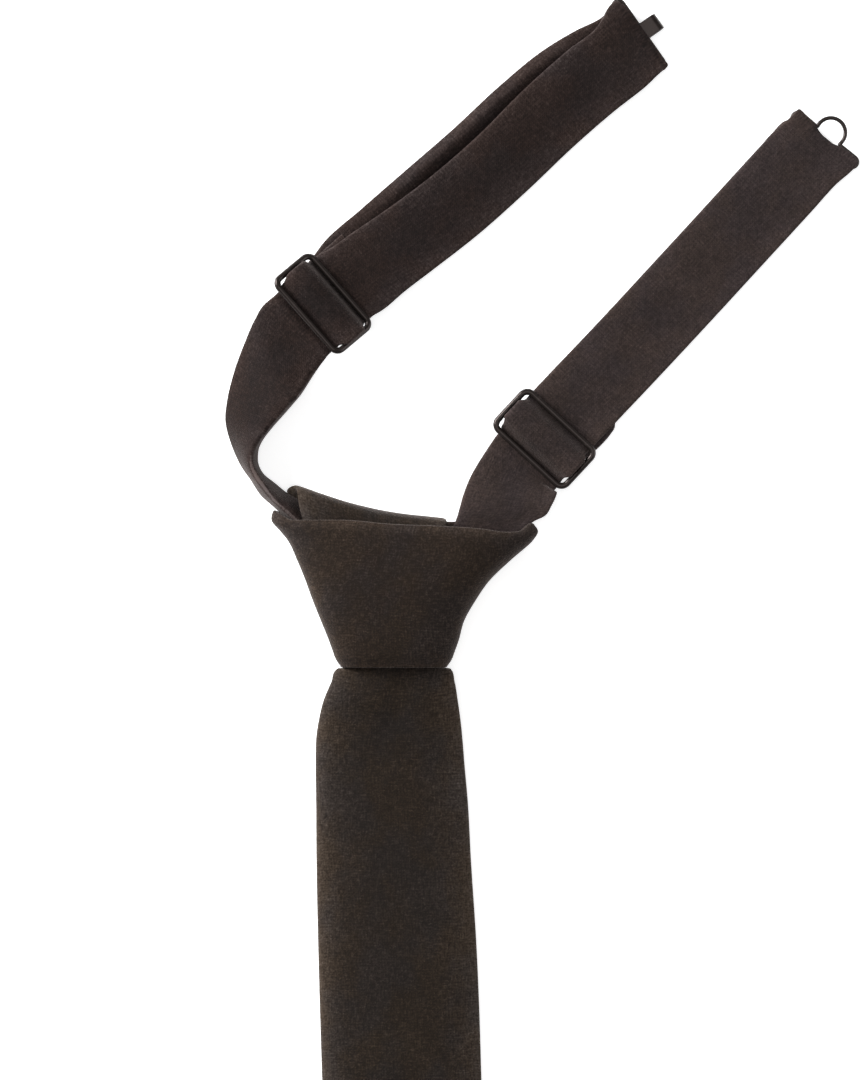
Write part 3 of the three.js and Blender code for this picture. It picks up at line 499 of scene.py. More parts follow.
def blade_middle(y):
    """X of the blade's middle line below the last row of its tables."""
    last = HANG_ROWS[-1]
    return (last["left"] + last["right"]) / 2 + BLADE_SLANT * (last["y"] - y)


def blade_rows():
    rows = edge_rows(LOOP_ROWS, CLOTH_PLY)
    rows += [
        ribbon_row(
            (row["right"], row["y"], row["z"]), (row["left"], row["y"], row["z"]),
            row["over"], row["under"], row["arch"],
        )
        for row in HANG_ROWS
    ]
    rows = smooth_rows(rows, BLADE_UNDER)
    last = HANG_ROWS[-1]
    shoulder = (BLADE_SHOULDER_Y, BLADE_SHOULDER_WIDTH)
    tip = (BLADE_SHOULDER_Y - (BLADE_SHOULDER_WIDTH - TIP_WIDTH) / 2, TIP_WIDTH)
    straight = []
    for start, end, step, thinning in (
        ((last["y"], last["right"] - last["left"]), shoulder, STRAIGHT_STEP, 0),
        (shoulder, tip, TIP_STEP, TIP_THINNING),
    ):
        for part in np.linspace(0, 1, round((start[0] - end[0]) / step) + 1)[1:]:
            y, width = (a + (b - a) * part for a, b in zip(start, end))
            middle, over = blade_middle(y), BLADE_OVER * (1 - thinning * part ** 2)
            straight.append(ribbon_row(
                (middle + width / 2, y, last["z"]), (middle - width / 2, y, last["z"]),
                over, BLADE_UNDER,
            ))
    return np.concatenate([rows, straight])


# Parts of a ripple: how it runs across and along, and how its phase is turned and set
RIPPLE_PARTS = ((2.1, 5.3, 1, 0), (-3.7, 3.1, 2.3, 1), (5.9, -1.7, 3.1, 2))


def ripple(flat, length, phase):
    """Soft waves of pressed cloth, from -1 to 1, about as long as the length given."""
    x, y = flat[..., 0] / length, flat[..., 1] / length
    return sum(
        np.sin(across * x + along * y + turned * phase + start)
        for across, along, turned, start in RIPPLE_PARTS
    ) / len(RIPPLE_PARTS)


def hollow(points, x, y, wide, high, lean):
    """A soft hollow in the plane of the surface: 1 at its middle and falling to 0."""
    dx = points[..., 0] - x - lean * (points[..., 1] - y)
    dy = points[..., 1] - y
    return np.exp(-(dx / wide) ** 2 - (dy / high) ** 2)


def blade_relief(points, flat, u, is_over):
    if is_over:
        waves = sum(depth * ripple(flat, length, phase) for depth, length, phase in BLADE_WAVES)
        return waves - DIMPLE_DEPTH * hollow(points, **DIMPLE)
    seam = SEAM_DEPTH * np.exp(-(flat[..., 0] / SEAM_WIDTH) ** 2)
    below = np.clip((BLADE_SHOULDER_Y + FACING_START - points[..., 1]) / FACING_START, 0, 1)
    facing = FACING_DEPTH * np.exp(-((flat[..., 2] - FACING_WIDTH) / SEAM_WIDTH) ** 2) * below
    half_tack = TACK_LENGTH / 2 + TACK_DENT["margin"]
    tack = TACK_DENT["depth"] * np.exp(
        -((points[..., 1] - TACK_Y) / TACK_DENT["half_height"]) ** 4
        - (flat[..., 0] / half_tack) ** 4,
    )
    return np.maximum(np.maximum(seam, tack), facing)


def thread_points(start, end):
    """One stitch: a short thread with rounded ends."""
    start, end = np.array(start, float), np.array(end, float)
    along = normalized(end - start)
    side = np.array([-along[1], along[0], 0])
    turn = full_turn(THREAD_SIDES)
    circle = np.cos(turn)[:, None] * side + np.sin(turn)[:, None] * np.array([0, 0, 1])
    part = np.linspace(0, 1, THREAD_RINGS)
    thick = 1 - np.abs(2 * part - 1) ** THREAD_SQUARE
    thick = THREAD * np.maximum(thick, THREAD_LEAST) ** 0.5
    return np.concatenate([start + (end - start) * p + circle * t for p, t in zip(part, thick)])


def stitch_mesh():
    """Slip stitches in the blade's back seam, and the bar tack near its lower end."""
    threads = []

    def add(y, half_x, half_y):
        x = blade_middle(y)
        threads.append(thread_points(
            (x - half_x, y - half_y, THREAD_Z), (x + half_x, y + half_y, THREAD_Z),
        ))

    lowest, highest = BLADE_SHOULDER_Y + SLIP_ENDS[0], HANG_ROWS[-1]["y"] - SLIP_ENDS[1]
    for y in np.arange(lowest, highest, SLIP_STEP):
        add(y, *SLIP_REACH)
    for k in range(TACK_THREADS):
        add(TACK_Y + (k - (TACK_THREADS - 1) / 2) * THREAD * TACK_PITCH, TACK_LENGTH / 2, 0)
    faces = [
        [k * THREAD_SIDES * THREAD_RINGS + index for index in face]
        for k in range(len(threads)) for face in rod_faces(THREAD_RINGS, THREAD_SIDES)
    ]
    return np.concatenate(threads), faces


BLADE_PROFILE = {
    "count": 61, "square_over": 2.6, "square_under": 14, "sharpness": 1.5, "relief": blade_relief,
}


# Knot wrap: its sides, the heights of its front and of its side folds, and how high its rim is

WRAP_ROWS = table(
    "y left right front fold",
    (0.0, -14.4, 13.9, 10.8, 4.6),
    (2.5, -15.1, 14.6, 11.8, 4.8),
    (6.2, -16.4, 15.9, 12.8, 5.2),
    (11.2, -18.4, 17.3, 13.8, 5.7),
    (16.2, -20.4, 20.1, 14.6, 6.2),
    (21.2, -22.2, 23.6, 15.2, 6.6),
    (26.3, -24.3, 28.9, 15.6, 6.9),
    (31.3, -26.7, 34.5, 15.8, 7.1),
    (33.5, -28.5, 36.0, 15.8, 7.2),
    (35.6, -30.4, 35.4, 15.6, 7.3),
    (38.3, -31.1, 34.0, 15.2, 7.4),
)
RIM_ROWS = table(
    "across front back",
    (-1.0, 38.2, 38.2),
    (-0.94, 36.8, 37.2),
    (-0.88, 35.8, 36.2),
    (-0.5, 35.8, 34.6),
    (-0.13, 34.8, 33.6),
    (0.24, 34.3, 34.0),
    (0.3, 34.2, 35.4),
    (0.42, 34.0, 35.4),
    (0.57, 33.6, 33.0),
    (0.8, 32.8, 32.6),
    (0.88, 33.0, 32.6),
    (0.95, 34.6, 32.6),
    (0.99, 35.0, 32.8),
    (1.0, 33.4, 33.4),
)
# Its rings crowd toward the mouth and the rim, and for the weave it has one height throughout
WRAP_COLUMNS = 264
WRAP_RINGS = 56
WRAP_CROWDING = 0.02
WRAP_HEIGHT = 36
# How far the rim rounds up, how far and over what reach it turns in, and how many times less far
# than elsewhere the painted edge highlight reaches there
RIM_RINGS = 8
RIM_ROUND = 0.45
RIM_TURN = 0.75
RIM_REACH = 2.6
RIM_EDGE_LIGHT_SHORTER = 4
WRAP_SEAM_DEPTH = 0.35
WRAP_SEAM_WIDTH = 0.06


def squared(wave):
    """A wave made square, as the wrap is in cross-section."""
    return np.sign(wave) * np.abs(wave) ** (2 / WRAP_SQUARE)


def wrap_points(turn, height, depth, lift):
    """Points of the sleeve: turn round it, height from mouth to rim, depth into its wall."""
    across, rise = squared(np.cos(turn)), squared(np.sin(turn))
    is_front = np.sin(turn) >= 0
    top = np.where(is_front, *curves_at(RIM_ROWS, "across", "front back", across))
    y = top * height
    near_mouth = np.clip(1 - y / RIM_REACH, 0, 1)
    near_top = np.clip(1 - (top - y) / RIM_REACH, 0, 1)
    turned_in = RIM_TURN * (near_mouth ** 2 + near_top ** 2)
    seam = WRAP_SEAM_DEPTH * np.exp(-(across / WRAP_SEAM_WIDTH) ** 2) * ~is_front
    depth = depth + (turned_in + seam) * (1 - depth / WRAP_WALL)
    left, right, front, fold = curves_at(WRAP_ROWS, "y", "left right front fold", y)
    half = (right - left) / 2 - depth
    reach = np.where(is_front, front - fold - depth, fold + WRAP_PRESS - depth)
    z = np.maximum(fold + rise * reach, depth)
    return np.stack([(left + right) / 2 + across * half, y + lift, z], axis=-1)


def wrap_mesh():
    """The sleeve: its outside, the rounded rim, its inside and the rounded mouth."""
    turn = full_turn(WRAP_COLUMNS) - math.pi / 2
    heights = np.linspace(0, 1, WRAP_RINGS)
    heights = heights + WRAP_CROWDING * np.sin(2 * math.pi * heights)
    rolls = [math.pi * k / RIM_RINGS for k in range(1, RIM_RINGS)]
    rings = [
        *((height, 0.0, 0.0) for height in heights),
        *((1.0, WRAP_WALL * (1 - math.cos(r)) / 2, RIM_ROUND * math.sin(r)) for r in rolls),
        *((height, WRAP_WALL, 0.0) for height in heights[::-1]),
        *((0.0, WRAP_WALL * (1 + math.cos(r)) / 2, -RIM_ROUND * math.sin(r)) for r in rolls),
    ]
    points = np.stack([wrap_points(turn, *ring) for ring in rings])
    beside = np.concatenate([points, points[:, :1]], axis=1)
    around = np.cumsum(np.linalg.norm(np.diff(beside, axis=1), axis=2), axis=1)
    around = np.concatenate([np.zeros((len(rings), 1)), around], axis=1)
    around -= around[:, -1:] / 2
    upward = np.array([ring[0] * WRAP_HEIGHT + ring[1] + ring[2] for ring in rings])
    across = squared(np.cos(turn))
    across = np.concatenate([across, across[:1]])
    # Distances from the wrap's sides and rim, which set its painted edge highlights
    from_side = (1 - np.abs(across)) * around.max(axis=1)[:, None] / 2
    height = np.array([ring[0] for ring in rings])[:, None]
    from_rim = np.minimum(height, 1 - height) * WRAP_HEIGHT * RIM_EDGE_LIGHT_SHORTER
    flat = np.stack([
        around, np.broadcast_to(upward[:, None], around.shape), np.minimum(from_side, from_rim),
    ], axis=-1)
    after = np.roll(flat, -1, axis=0)
    cloth = np.stack([flat[:, :-1], after[:, :-1], after[:, 1:], flat[:, 1:]], axis=2)
    return points.reshape(-1, 3), ring_faces(len(rings), WRAP_COLUMNS, True), cloth.reshape(-1, 3)


# Straps

def across_row(place, run, z, reach_a, reach_b):
    """A strap across a fitting's direction: run along it, reach to edge a and to edge b."""
    def edge(reach):
        way = run + reach * place["slope"]
        return (*(place["at"] + place["along"] * way + place["beside"] * reach), z)

    return ribbon_row(edge(-reach_a), edge(reach_b), STRAP_THICK / 2, STRAP_THICK / 2)


# A strap over a slider's bars, in the slider's own plane, from the knot's side to the clasp's. It
# fills the slider where it spreads.
OVER_BAR = table(
    "run rise spread full a b",
    (-OUTER_BAR - 1.6, -LOOP_RADIUS, 0, 0, -0.9, 0.4),
    (-OUTER_BAR + 0.2, -LOOP_RADIUS - 0.05, 0, 0, -0.7, 0.3),
    (-4.9, -1.15, 0, 0.3, -0.2, 0.1),
    (-4.0, -0.1, 0, 0.3),
    (-3.05, 1.35, 0.3, 0.5),
    (-2.6, 1.95, 1),
    (-1.5, 2.8, 1),
    (0.0, OVER_RADIUS + 0.05, 1),
    (1.5, 2.8, 1),
    (2.6, 1.95, 1),
    (3.05, 1.35, 0.3, 0.5),
    (4.0, -0.1, 0, 0.3),
    (4.9, -1.15, 0, 0.3),
    (OUTER_BAR - 0.2, -LOOP_RADIUS - 0.05),
    (OUTER_BAR + 1.6, -LOOP_RADIUS),
)


def in_slider(slider, run, rise):
    """A place in a slider's own plane, as run and height; a tilted slider's knot side is up."""
    tilt = slider["tilt"]
    return (
        run * math.cos(tilt) + rise * math.sin(tilt),
        slider["z"] - run * math.sin(tilt) + rise * math.cos(tilt),
    )


def over_bar_rows(slider):
    rows = []
    for row in OVER_BAR:
        run, z = in_slider(slider, row["run"], row["rise"])
        fill = SLOT_FILL if row["spread"] else 0
        reach_a, reach_b = (
            STRAP_WIDTH / 2 + row[edge] + fill
            + (row["spread"] + row["full"] * slider["full_" + edge]) * slider["spread_" + edge]
            for edge in "ab"
        )
        rows.append(across_row(slider, run, max(z, FRONT_Z - FRONT_PRESS), reach_a, reach_b))
    return rows


def clasp_fold_rows(clasp):
    """The fold round a clasp's inner bar, front to back, narrower inside the frame."""
    rows = []
    for degrees in (90, 60, 30, 0, -30, -60, -90):
        turn = math.radians(degrees)
        run = -CLASP_BAR + FOLD_RADIUS * math.cos(turn)
        reach = CLASP_ROOM if -45 < degrees < 15 else STRAP_WIDTH / 2
        corner = clasp["corner"] if degrees > 15 else 0
        z = clasp["z"] + FOLD_RADIUS * math.sin(turn)
        rows.append(across_row(clasp, run, z, reach, reach + corner))
    return rows


def bar_loop_rows(slider):
    """The loop round a slider's middle bar, from beneath, round its knot side and over it."""
    rows = []
    for degrees in range(-90, -331, -40):
        turn = math.radians(degrees)
        run, z = in_slider(slider, LOOP_RADIUS * math.cos(turn), LOOP_RADIUS * math.sin(turn))
        rows.append(across_row(slider, run, z, STRAP_WIDTH / 2, STRAP_WIDTH / 2))
    return rows


def level_rows(slider, rows):
    """Level rows in the slider's direction, shifted toward edge b or wider at edge a."""
    half = STRAP_WIDTH / 2
    result = []
    for row in rows:
        shift, wide = row.get("shift", 0), row.get("wide", 0)
        result.append(across_row(slider, row["run"], row["z"], half - shift + wide, half + shift))
    return result


RIGHT_START = table(
    EDGES,
    (-3.0, 26.0, 6.8, 14.6, 19.0, 6.8),
    (4.0, 29.2, 6.5, 22.0, 22.8, 6.5),
    (10.8, 31.8, 6.2, 28.6, 28.2, 6.2),
    (14.4, 34.4, 6.2, 32.5, 33.2, 6.2),
    (15.4, 36.8, 6.2, 34.2, 35.6, 6.2),
    (16.1, 39.2, 5.9, 37.3, 37.2, 6.5),
    (17.2, 43.0, 5.2, 39.0, 39.8, 6.6),
    (19.9, 49.0, 4.2, 40.4, 43.0, 4.6),
)
RIGHT_FRONT = table(
    "run z shift",
    (13.0, FRONT_Z, 0.1), (16.5, FRONT_Z - 0.1, 0.1), (24.0, 2.2, 0.2), (45.0, 2.0, 0.3),
    (70.0, 2.0, 0.2), (88.0, 2.3, 0.1), (96.0, 3.1),
)
RIGHT_BACK = table(
    "run z shift",
    (98.6, BACK_Z), (94.0, BACK_Z), (60.0, BACK_Z, 0.2), (24.0, BACK_Z, 0.2),
    (10.0, BACK_Z), (6.0, BACK_Z), (3.4, 1.1), (1.6, 2.35),
)
RIGHT_TAB = table(
    "run z shift",
    (2.35, 3.6, 0.3), (3.7, 2.35, 0.8), (6.2, TAB_Z, 1.1), (12.4, TAB_Z, 1.1),
    (14.0, TAB_Z, 0.8), (15.0, TAB_Z, 0.1),
)
LEFT_START = table(
    EDGES + " arch at",
    (-2.0, 12.0, 5.4, -2.0, 30.0, 5.4),
    (-9.0, 15.0, 5.4, -8.0, 32.0, 5.4),
    (-17.5, 23.5, 5.4, -13.0, 35.5, 5.4, 2.4),
    (-23.0, 32.2, 5.6, -19.4, 37.6, 6.0, 3.2, -0.3),
    (-26.7, 36.7, 5.2, -23.8, 40.9, 6.0, 4.8, -0.45),
    (-30.3, 40.1, 3.9, -27.1, 42.8, 4.9, 6.4, -0.4),
    (-33.2, 42.7, 2.6, -29.8, 44.9, 3.0, 7.8, -0.15),
    (-35.8, 46.6, 1.8, -33.2, 47.7, 1.9, 8.9, 0.1),
    (-38.4, 50.4, 1.2, -34.5, 50.9, 1.2, 9.6, 0.35),
    (-41.0, 56.4, 1.0, -34.3, 53.7, 1.0, 9.0, 0.75),
    (-42.2, 61.3, 1.0, -33.0, 56.5, 1.0, 8.0, 0.88),
    (-41.9, 65.4, 1.2, -31.0, 59.1, 1.2, 7.1, 0.92),
    (-40.1, 73.2, 1.8, -26.6, 64.0, 1.8, 7.4, 0.92),
    (-37.7, 79.8, 2.8, -23.1, 68.1, 2.8, 6.2, 0.93),
    (-34.8, 86.1, 6.2, -20.0, 72.8, 5.6, 1.6, 0.9),
    (-31.8, 90.3, 8.4, -17.1, 76.4, 8.8, 0.2, 0.7),
)
LEFT_FRONT = table(
    EDGES,
    (-16.2, 103.9, 3.5, -3.0, 88.6, 3.4),
    (-10.5, 107.9, 3.4, 2.3, 93.1, 3.1),
    (-3.0, 113.0, 3.3, 9.3, 98.5, 2.4),
    (9.6, 122.4, 3.2, 21.4, 108.0, 1.8),
    (20.6, 132.0, 3.2, 32.7, 118.1, 1.7),
    (32.6, 144.0, 3.2, 44.8, 129.6, 1.8),
    (43.4, 153.6, 3.4, 55.1, 138.5, 2.4),
    (50.6, 159.4, 3.8, 62.7, 144.4, 3.6),
)
LEFT_BACK = table(
    EDGES + " curl",
    (51.9, 162.0, 1.3, 62.4, 145.4, 1.1),
    (45.4, 158.6, 1.5, 59.0, 143.0, 0.8, -0.3),
    (36.8, 153.4, 1.4, 50.0, 138.4, BACK_Z, -0.9),
    (26.6, 145.1, 1.3, 39.4, 130.4, BACK_Z, -1.3),
    (14.2, 133.6, 1.3, 27.0, 119.2, BACK_Z, -1.5),
    (2.2, 123.2, 1.2, 15.4, 108.4, BACK_Z, -1.3),
    (-8.4, 114.0, 0.7, 4.6, 98.6, BACK_Z, -0.3),
)
LEFT_RISE = table(
    "run z wide",
    (9.5, BACK_Z, 1.4), (6.4, BACK_Z, 0.7), (4.6, 0.65, 0.4), (3.2, 1.35), (1.9, 2.6),
    (0.9, 4.1),
)
LEFT_TAB = table("run z", (2.15, 5.9), (2.7, 4.0), (4.05, 2.4), (5.6, TAB_Z), (15.0, TAB_Z))

# Each strap's rows, from inside the knot to its sewn end tab
RIGHT_ROWS = [
    *edge_rows(RIGHT_START),
    *over_bar_rows(SLIDER_RIGHT),
    *level_rows(SLIDER_RIGHT, RIGHT_FRONT),
    *clasp_fold_rows(EYE),
    *level_rows(SLIDER_RIGHT, RIGHT_BACK),
    *bar_loop_rows(SLIDER_RIGHT),
    *level_rows(SLIDER_RIGHT, RIGHT_TAB),
]
LEFT_ROWS = [
    *edge_rows(LEFT_START),
    *over_bar_rows(SLIDER_LEFT),
    *edge_rows(LEFT_FRONT),
    *clasp_fold_rows(HOOK),
    *edge_rows(LEFT_BACK),
    *level_rows(SLIDER_LEFT, LEFT_RISE),
    *bar_loop_rows(SLIDER_LEFT),
    *level_rows(SLIDER_LEFT, LEFT_TAB),
]

# The bead along a strap's edges, its reach as a share of the half width and how much of it the
# underside has, and the strap's waves as depth, length and phase
BEAD_HEIGHT = 0.08
BEAD_REACH = 0.07
BEAD_UNDER = 0.5
STRAP_WAVES = (0.05, 9, 1.3)


def strap_relief(points, flat, u, is_over):
    bead = BEAD_HEIGHT * np.exp(-((1 - np.abs(u)) / BEAD_REACH) ** 2)
    depth, length, phase = STRAP_WAVES
    return bead + depth * ripple(flat, length, phase) if is_over else -bead * BEAD_UNDER


STRAP_PROFILE = {
    "count": 45, "square_over": 22, "square_under": 22, "sharpness": 0.25, "relief": strap_relief,
}

# How far the top of a fold is pushed out along its clasp, from one height over it to another
LIP_LOW = 0.72
LIP_FULL = 0.9
HOOK_LIP = table(
    "reach push", (-10.4, 0.3), (-9.0, 0.6), (-7.0, 1.3), (-4.0, 1.4), (8.5, 1.4), (10.4, 1.6),
)
EYE_LIP = table(
    "reach push",
    (-10.4, 2.0), (-8.0, 1.7), (-4.6, 1.45), (-3.6, 0.9), (-2.0, 0.35), (0.0, 0.1), (2.0, 0.2),
    (3.8, 0.8), (5.0, 1.2), (8.4, 1.15), (10.4, 0.5),
)


def push_lip(points, clasp, lip):
    """Pushes the top of a clasp's fold out over its outer bar, and its middle into the frame."""
    away = points[:, :2] - clasp["at"]
    reach = away @ clasp["beside"]
    run = away @ clasp["along"] - reach * clasp["slope"]
    height = points[:, 2] - clasp["z"]
    outer = CLASP_BAR + FOLD_RADIUS + STRAP_THICK / 2
    near = (np.abs(reach) < STRAP_WIDTH) & (np.abs(run) < 2 * CLASP_BAR)
    part = eased(np.clip((run + CLASP_BAR) / (outer - CLASP_BAR), 0, 1))
    raised = np.clip((height - LIP_LOW) / (LIP_FULL - LIP_LOW), 0, 1)
    push, = curves_at(lip, "reach", "push", reach)
    points[:, :2] += (push * near * part * raised)[:, None] * clasp["along"]
    level = near & (np.abs(height) < LIP_LOW) & (np.abs(reach) > CLASP_ROOM)
    into = np.where(level, CLASP_ROOM - np.abs(reach), 0) * np.sign(reach)
    points[:, :2] += into[:, None] * clasp["beside"]


# Wire hardware

# How far the corners of wire are softened, and how the middle bar flares where it is soldered
SLIDER_SOFT = 0.2
EYE_SOFT = 0.28
HOOK_SOFT = 0.2
BAR_STEPS = 60
BAR_THINNER = 0.02
SOLDER_FLARE = 0.35
SOLDER_REACH = 0.7


def arc_points(centre, radius, from_degrees, to_degrees, pieces=ARC_PIECES):
    turn = np.radians(np.linspace(from_degrees, to_degrees, pieces + 1))
    return [
        (centre[0] + radius * math.cos(a), centre[1] + radius * math.sin(a)) for a in turn
    ]


def soft_path(points, soften):
    """A closed path with even steps, its corners bent as wire bends."""
    closed = np.array([*points, points[0]])
    length = run_lengths(closed)
    count = round(length[-1] / PATH_STEP)
    at = np.arange(count) * length[-1] / count
    path = np.stack([np.interp(at, length, closed[:, k]) for k in range(2)], axis=1)
    reach = math.ceil(3 * soften / PATH_STEP)
    offsets = np.arange(-reach, reach + 1)
    weights = np.exp(-(offsets * PATH_STEP / soften) ** 2 / 2)
    weights /= weights.sum()
    return sum(w * np.roll(path, -k, axis=0) for w, k in zip(weights, offsets))


def closed_wire(path, radius):
    """A closed tube round a closed path in its plane, counter-clockwise."""
    along = normalized(np.roll(path, -1, axis=0) - np.roll(path, 1, axis=0))
    side = np.stack([along[:, 1], -along[:, 0]], axis=1)
    turn = full_turn(WIRE_SIDES)
    plane = path[:, None] + side[:, None] * (radius * np.cos(turn))[None, :, None]
    height = np.broadcast_to(radius * np.sin(turn), plane.shape[:2])
    points = np.concatenate([plane, height[..., None]], axis=2).reshape(-1, 3)
    return points, ring_faces(len(path), WIRE_SIDES, True)


def middle_bar(half_length):
    """A slider's middle bar along X, flared at both ends where it is soldered."""
    x = np.linspace(-half_length, half_length, BAR_STEPS + 1)
    flare = SOLDER_FLARE * np.exp(-((half_length - np.abs(x)) / SOLDER_REACH) ** 2)
    thick = SLIDER_WIRE / 2 - BAR_THINNER + flare
    turn = full_turn(WIRE_SIDES)
    points = np.stack([
        np.broadcast_to(x[:, None], (len(x), WIRE_SIDES)),
        thick[:, None] * np.cos(turn),
        thick[:, None] * np.sin(turn),
    ], axis=-1).reshape(-1, 3)
    return points, rod_faces(len(x), WIRE_SIDES)


def placed(points, place):
    """Points of a flat fitting tilted about its own X, turned about Z and set in place."""
    x, y, z = np.asarray(points, float).T
    c, s = math.cos(-place["tilt"]), math.sin(-place["tilt"])
    y, z = y * c - z * s, y * s + z * c
    c, s = math.cos(place["turn"]), math.sin(place["turn"])
    at = place["at"]
    return np.stack([at[0] + x * c - y * s, at[1] + x * s + y * c, place["z"] + z], axis=1)


def solid_union(name, place, *parts):
    """One closed mesh in its place, from closed meshes that overlap."""
    pieces = [
        add_mesh(f"{name}_{k}", placed(points, place), faces)
        for k, (points, faces) in enumerate(parts)
    ]
    for other in pieces[1:]:
        union = pieces[0].modifiers.new("union", "BOOLEAN")
        union.operation = "UNION"
        union.solver = "EXACT"
        union.object = other
    evaluated = pieces[0].evaluated_get(bpy.context.evaluated_depsgraph_get())
    mesh = bpy.data.meshes.new_from_object(evaluated)
    mesh.name = name
    for piece in pieces:
        bpy.data.objects.remove(piece)
    mesh.shade_smooth()
    mesh.set_sharp_from_angle(angle=math.radians(METAL_SHARP))
    return new_object(name, mesh)


def slider_piece(name, slider):
    half_length = (SLIDER_LENGTH - SLIDER_WIRE) / 2
    corner = SLIDER_CORNER - SLIDER_WIRE / 2
    x, y = half_length - corner, OUTER_BAR - corner
    outline = []
    for quarter, middle in enumerate(((x, -y), (x, y), (-x, y), (-x, -y))):
        outline += arc_points(middle, corner, 90 * (quarter - 1), 90 * quarter)
    wire = closed_wire(soft_path(outline, SLIDER_SOFT), SLIDER_WIRE / 2)
    return solid_union(name, slider, wire, middle_bar(half_length))


def clasp_outline(middle):
    half = (CLASP_LENGTH - CLASP_WIDTH) / 2
    return [
        *arc_points((half, 0), CLASP_BAR, -90, 90),
        *middle,
        *arc_points((-half, 0), CLASP_BAR, 90, 270),
    ]


def eye_piece(name):
    foot = math.degrees(math.asin((EYE_REACH - CLASP_BAR) / EYE_RADIUS))
    ring = arc_points((0, EYE_REACH), EYE_RADIUS, -foot, 180 + foot, RING_PIECES)
    points, faces = closed_wire(soft_path(clasp_outline(ring), EYE_SOFT), CLASP_WIRE / 2)
    return add_mesh(name, placed(points, EYE), faces)


TONGUE_PROFILE = {"count": 41, "square_over": 34, "square_under": 34, "sharpness": 1.5}
TONGUE_ROOT = 0.3
FILLET_ROWS = 10
TONGUE_ROWS = 8


def tongue_mesh():
    """The hook's tongue: out of the frame, bent down and back beneath."""
    thick = TONGUE_THICK / 2
    bend = thick + TONGUE_SPACE / 2
    centre = TONGUE_REACH - thick - bend
    foot = CLASP_BAR + TONGUE_FILLET
    end = TONGUE_REACH - TONGUE_RETURN
    path = [
        *((run, 0) for run in np.linspace(CLASP_BAR - TONGUE_ROOT, foot, FILLET_ROWS)),
        *((run, 0) for run in np.linspace(foot, centre, TONGUE_ROWS)[1:-1]),
        *arc_points((centre, -bend), bend, 90, -90),
        *((run, -2 * bend) for run in np.linspace(centre, end, TONGUE_ROWS)[1:]),
    ]
    rows = []
    for run, z in path:
        into = min(max(foot - run, 0), TONGUE_FILLET)
        flare = TONGUE_FILLET - math.sqrt(TONGUE_FILLET ** 2 - into ** 2)
        wide = TONGUE_WIDTH / 2 + flare
        rows.append(ribbon_row((-wide, run, z), (wide, run, z), thick, thick))
    return ribbon_mesh(np.array(rows), TONGUE_PROFILE)[:2]


def hook_piece(name):
    frame_wire = closed_wire(soft_path(clasp_outline([]), HOOK_SOFT), CLASP_WIRE / 2)
    return solid_union(name, HOOK, frame_wire, tongue_mesh())


# Materials

def new_material(name):
    """A material's node tree, its shader and itself."""
    material = bpy.data.materials.new(name)
    material.use_nodes = True
    return material.node_tree, material.node_tree.nodes["Principled BSDF"], material


def set_inputs(tree, node, inputs):
    """Each input gets a value or a link from another node's output."""
    for name, value in inputs.items():
        if isinstance(value, bpy.types.NodeSocket):
            tree.links.new(value, node.inputs[name])
        else:
            node.inputs[name].default_value = value


def add_node(tree, kind, inputs, output=0, **settings):
    """The output of a new node."""
    node = tree.nodes.new("ShaderNode" + kind)
    for name, value in settings.items():
        setattr(node, name, value)
    set_inputs(tree, node, inputs)
    return node.outputs[output]


def add_noise(tree, vector, scale, detail, roughness=0.5):
    return add_node(tree, "TexNoise", {
        "Vector": vector, "Scale": scale, "Detail": detail, "Roughness": roughness,
    })


def add_bump(tree, height, strength, distance):
    return add_node(tree, "Bump", {
        "Strength": strength, "Distance": distance * MM, "Height": height,
    }, "Normal")


def add_ramp(tree, factor, stops):
    node = tree.nodes.new("ShaderNodeValToRGB")
    ramp = node.color_ramp
    while len(ramp.elements) < len(stops):
        ramp.elements.new(0.5)
    for element, (position, colour) in zip(ramp.elements, stops):
        element.position = position
        element.color = (*colour, 1)
    tree.links.new(factor, node.inputs["Fac"])
    return node.outputs["Color"]


# How far the painted highlight along a folded edge reaches, and the tones of the painted highlight
# on a fold's crest, the weave and the soft patches, about a middle tone that the grain doesn't
# change
EDGE_LIGHT_REACH = 4.5
CREST_HIGHLIGHT_TONE = 1.3
WEAVE_TONE = 0.04
PATCH_TONE = 0.35
MIDDLE_TONE = 0.64
YARN_MEAN = 0.8
# Places along the tone, and there the colour's share and the grey that is added
TONE_STOPS = (
    (0.36, 0.5, 0), (0.5, 1, 0), (0.62, 1.5, 0.003), (0.8, 2.2, 0.014), (1.0, 4, 0.045),
)
# How high the weave and the yarn stand, and the bump's depth in all
WEAVE_HEIGHT = 0.35
YARN_HEIGHT = 3.2
CLOTH_BUMP = 0.12


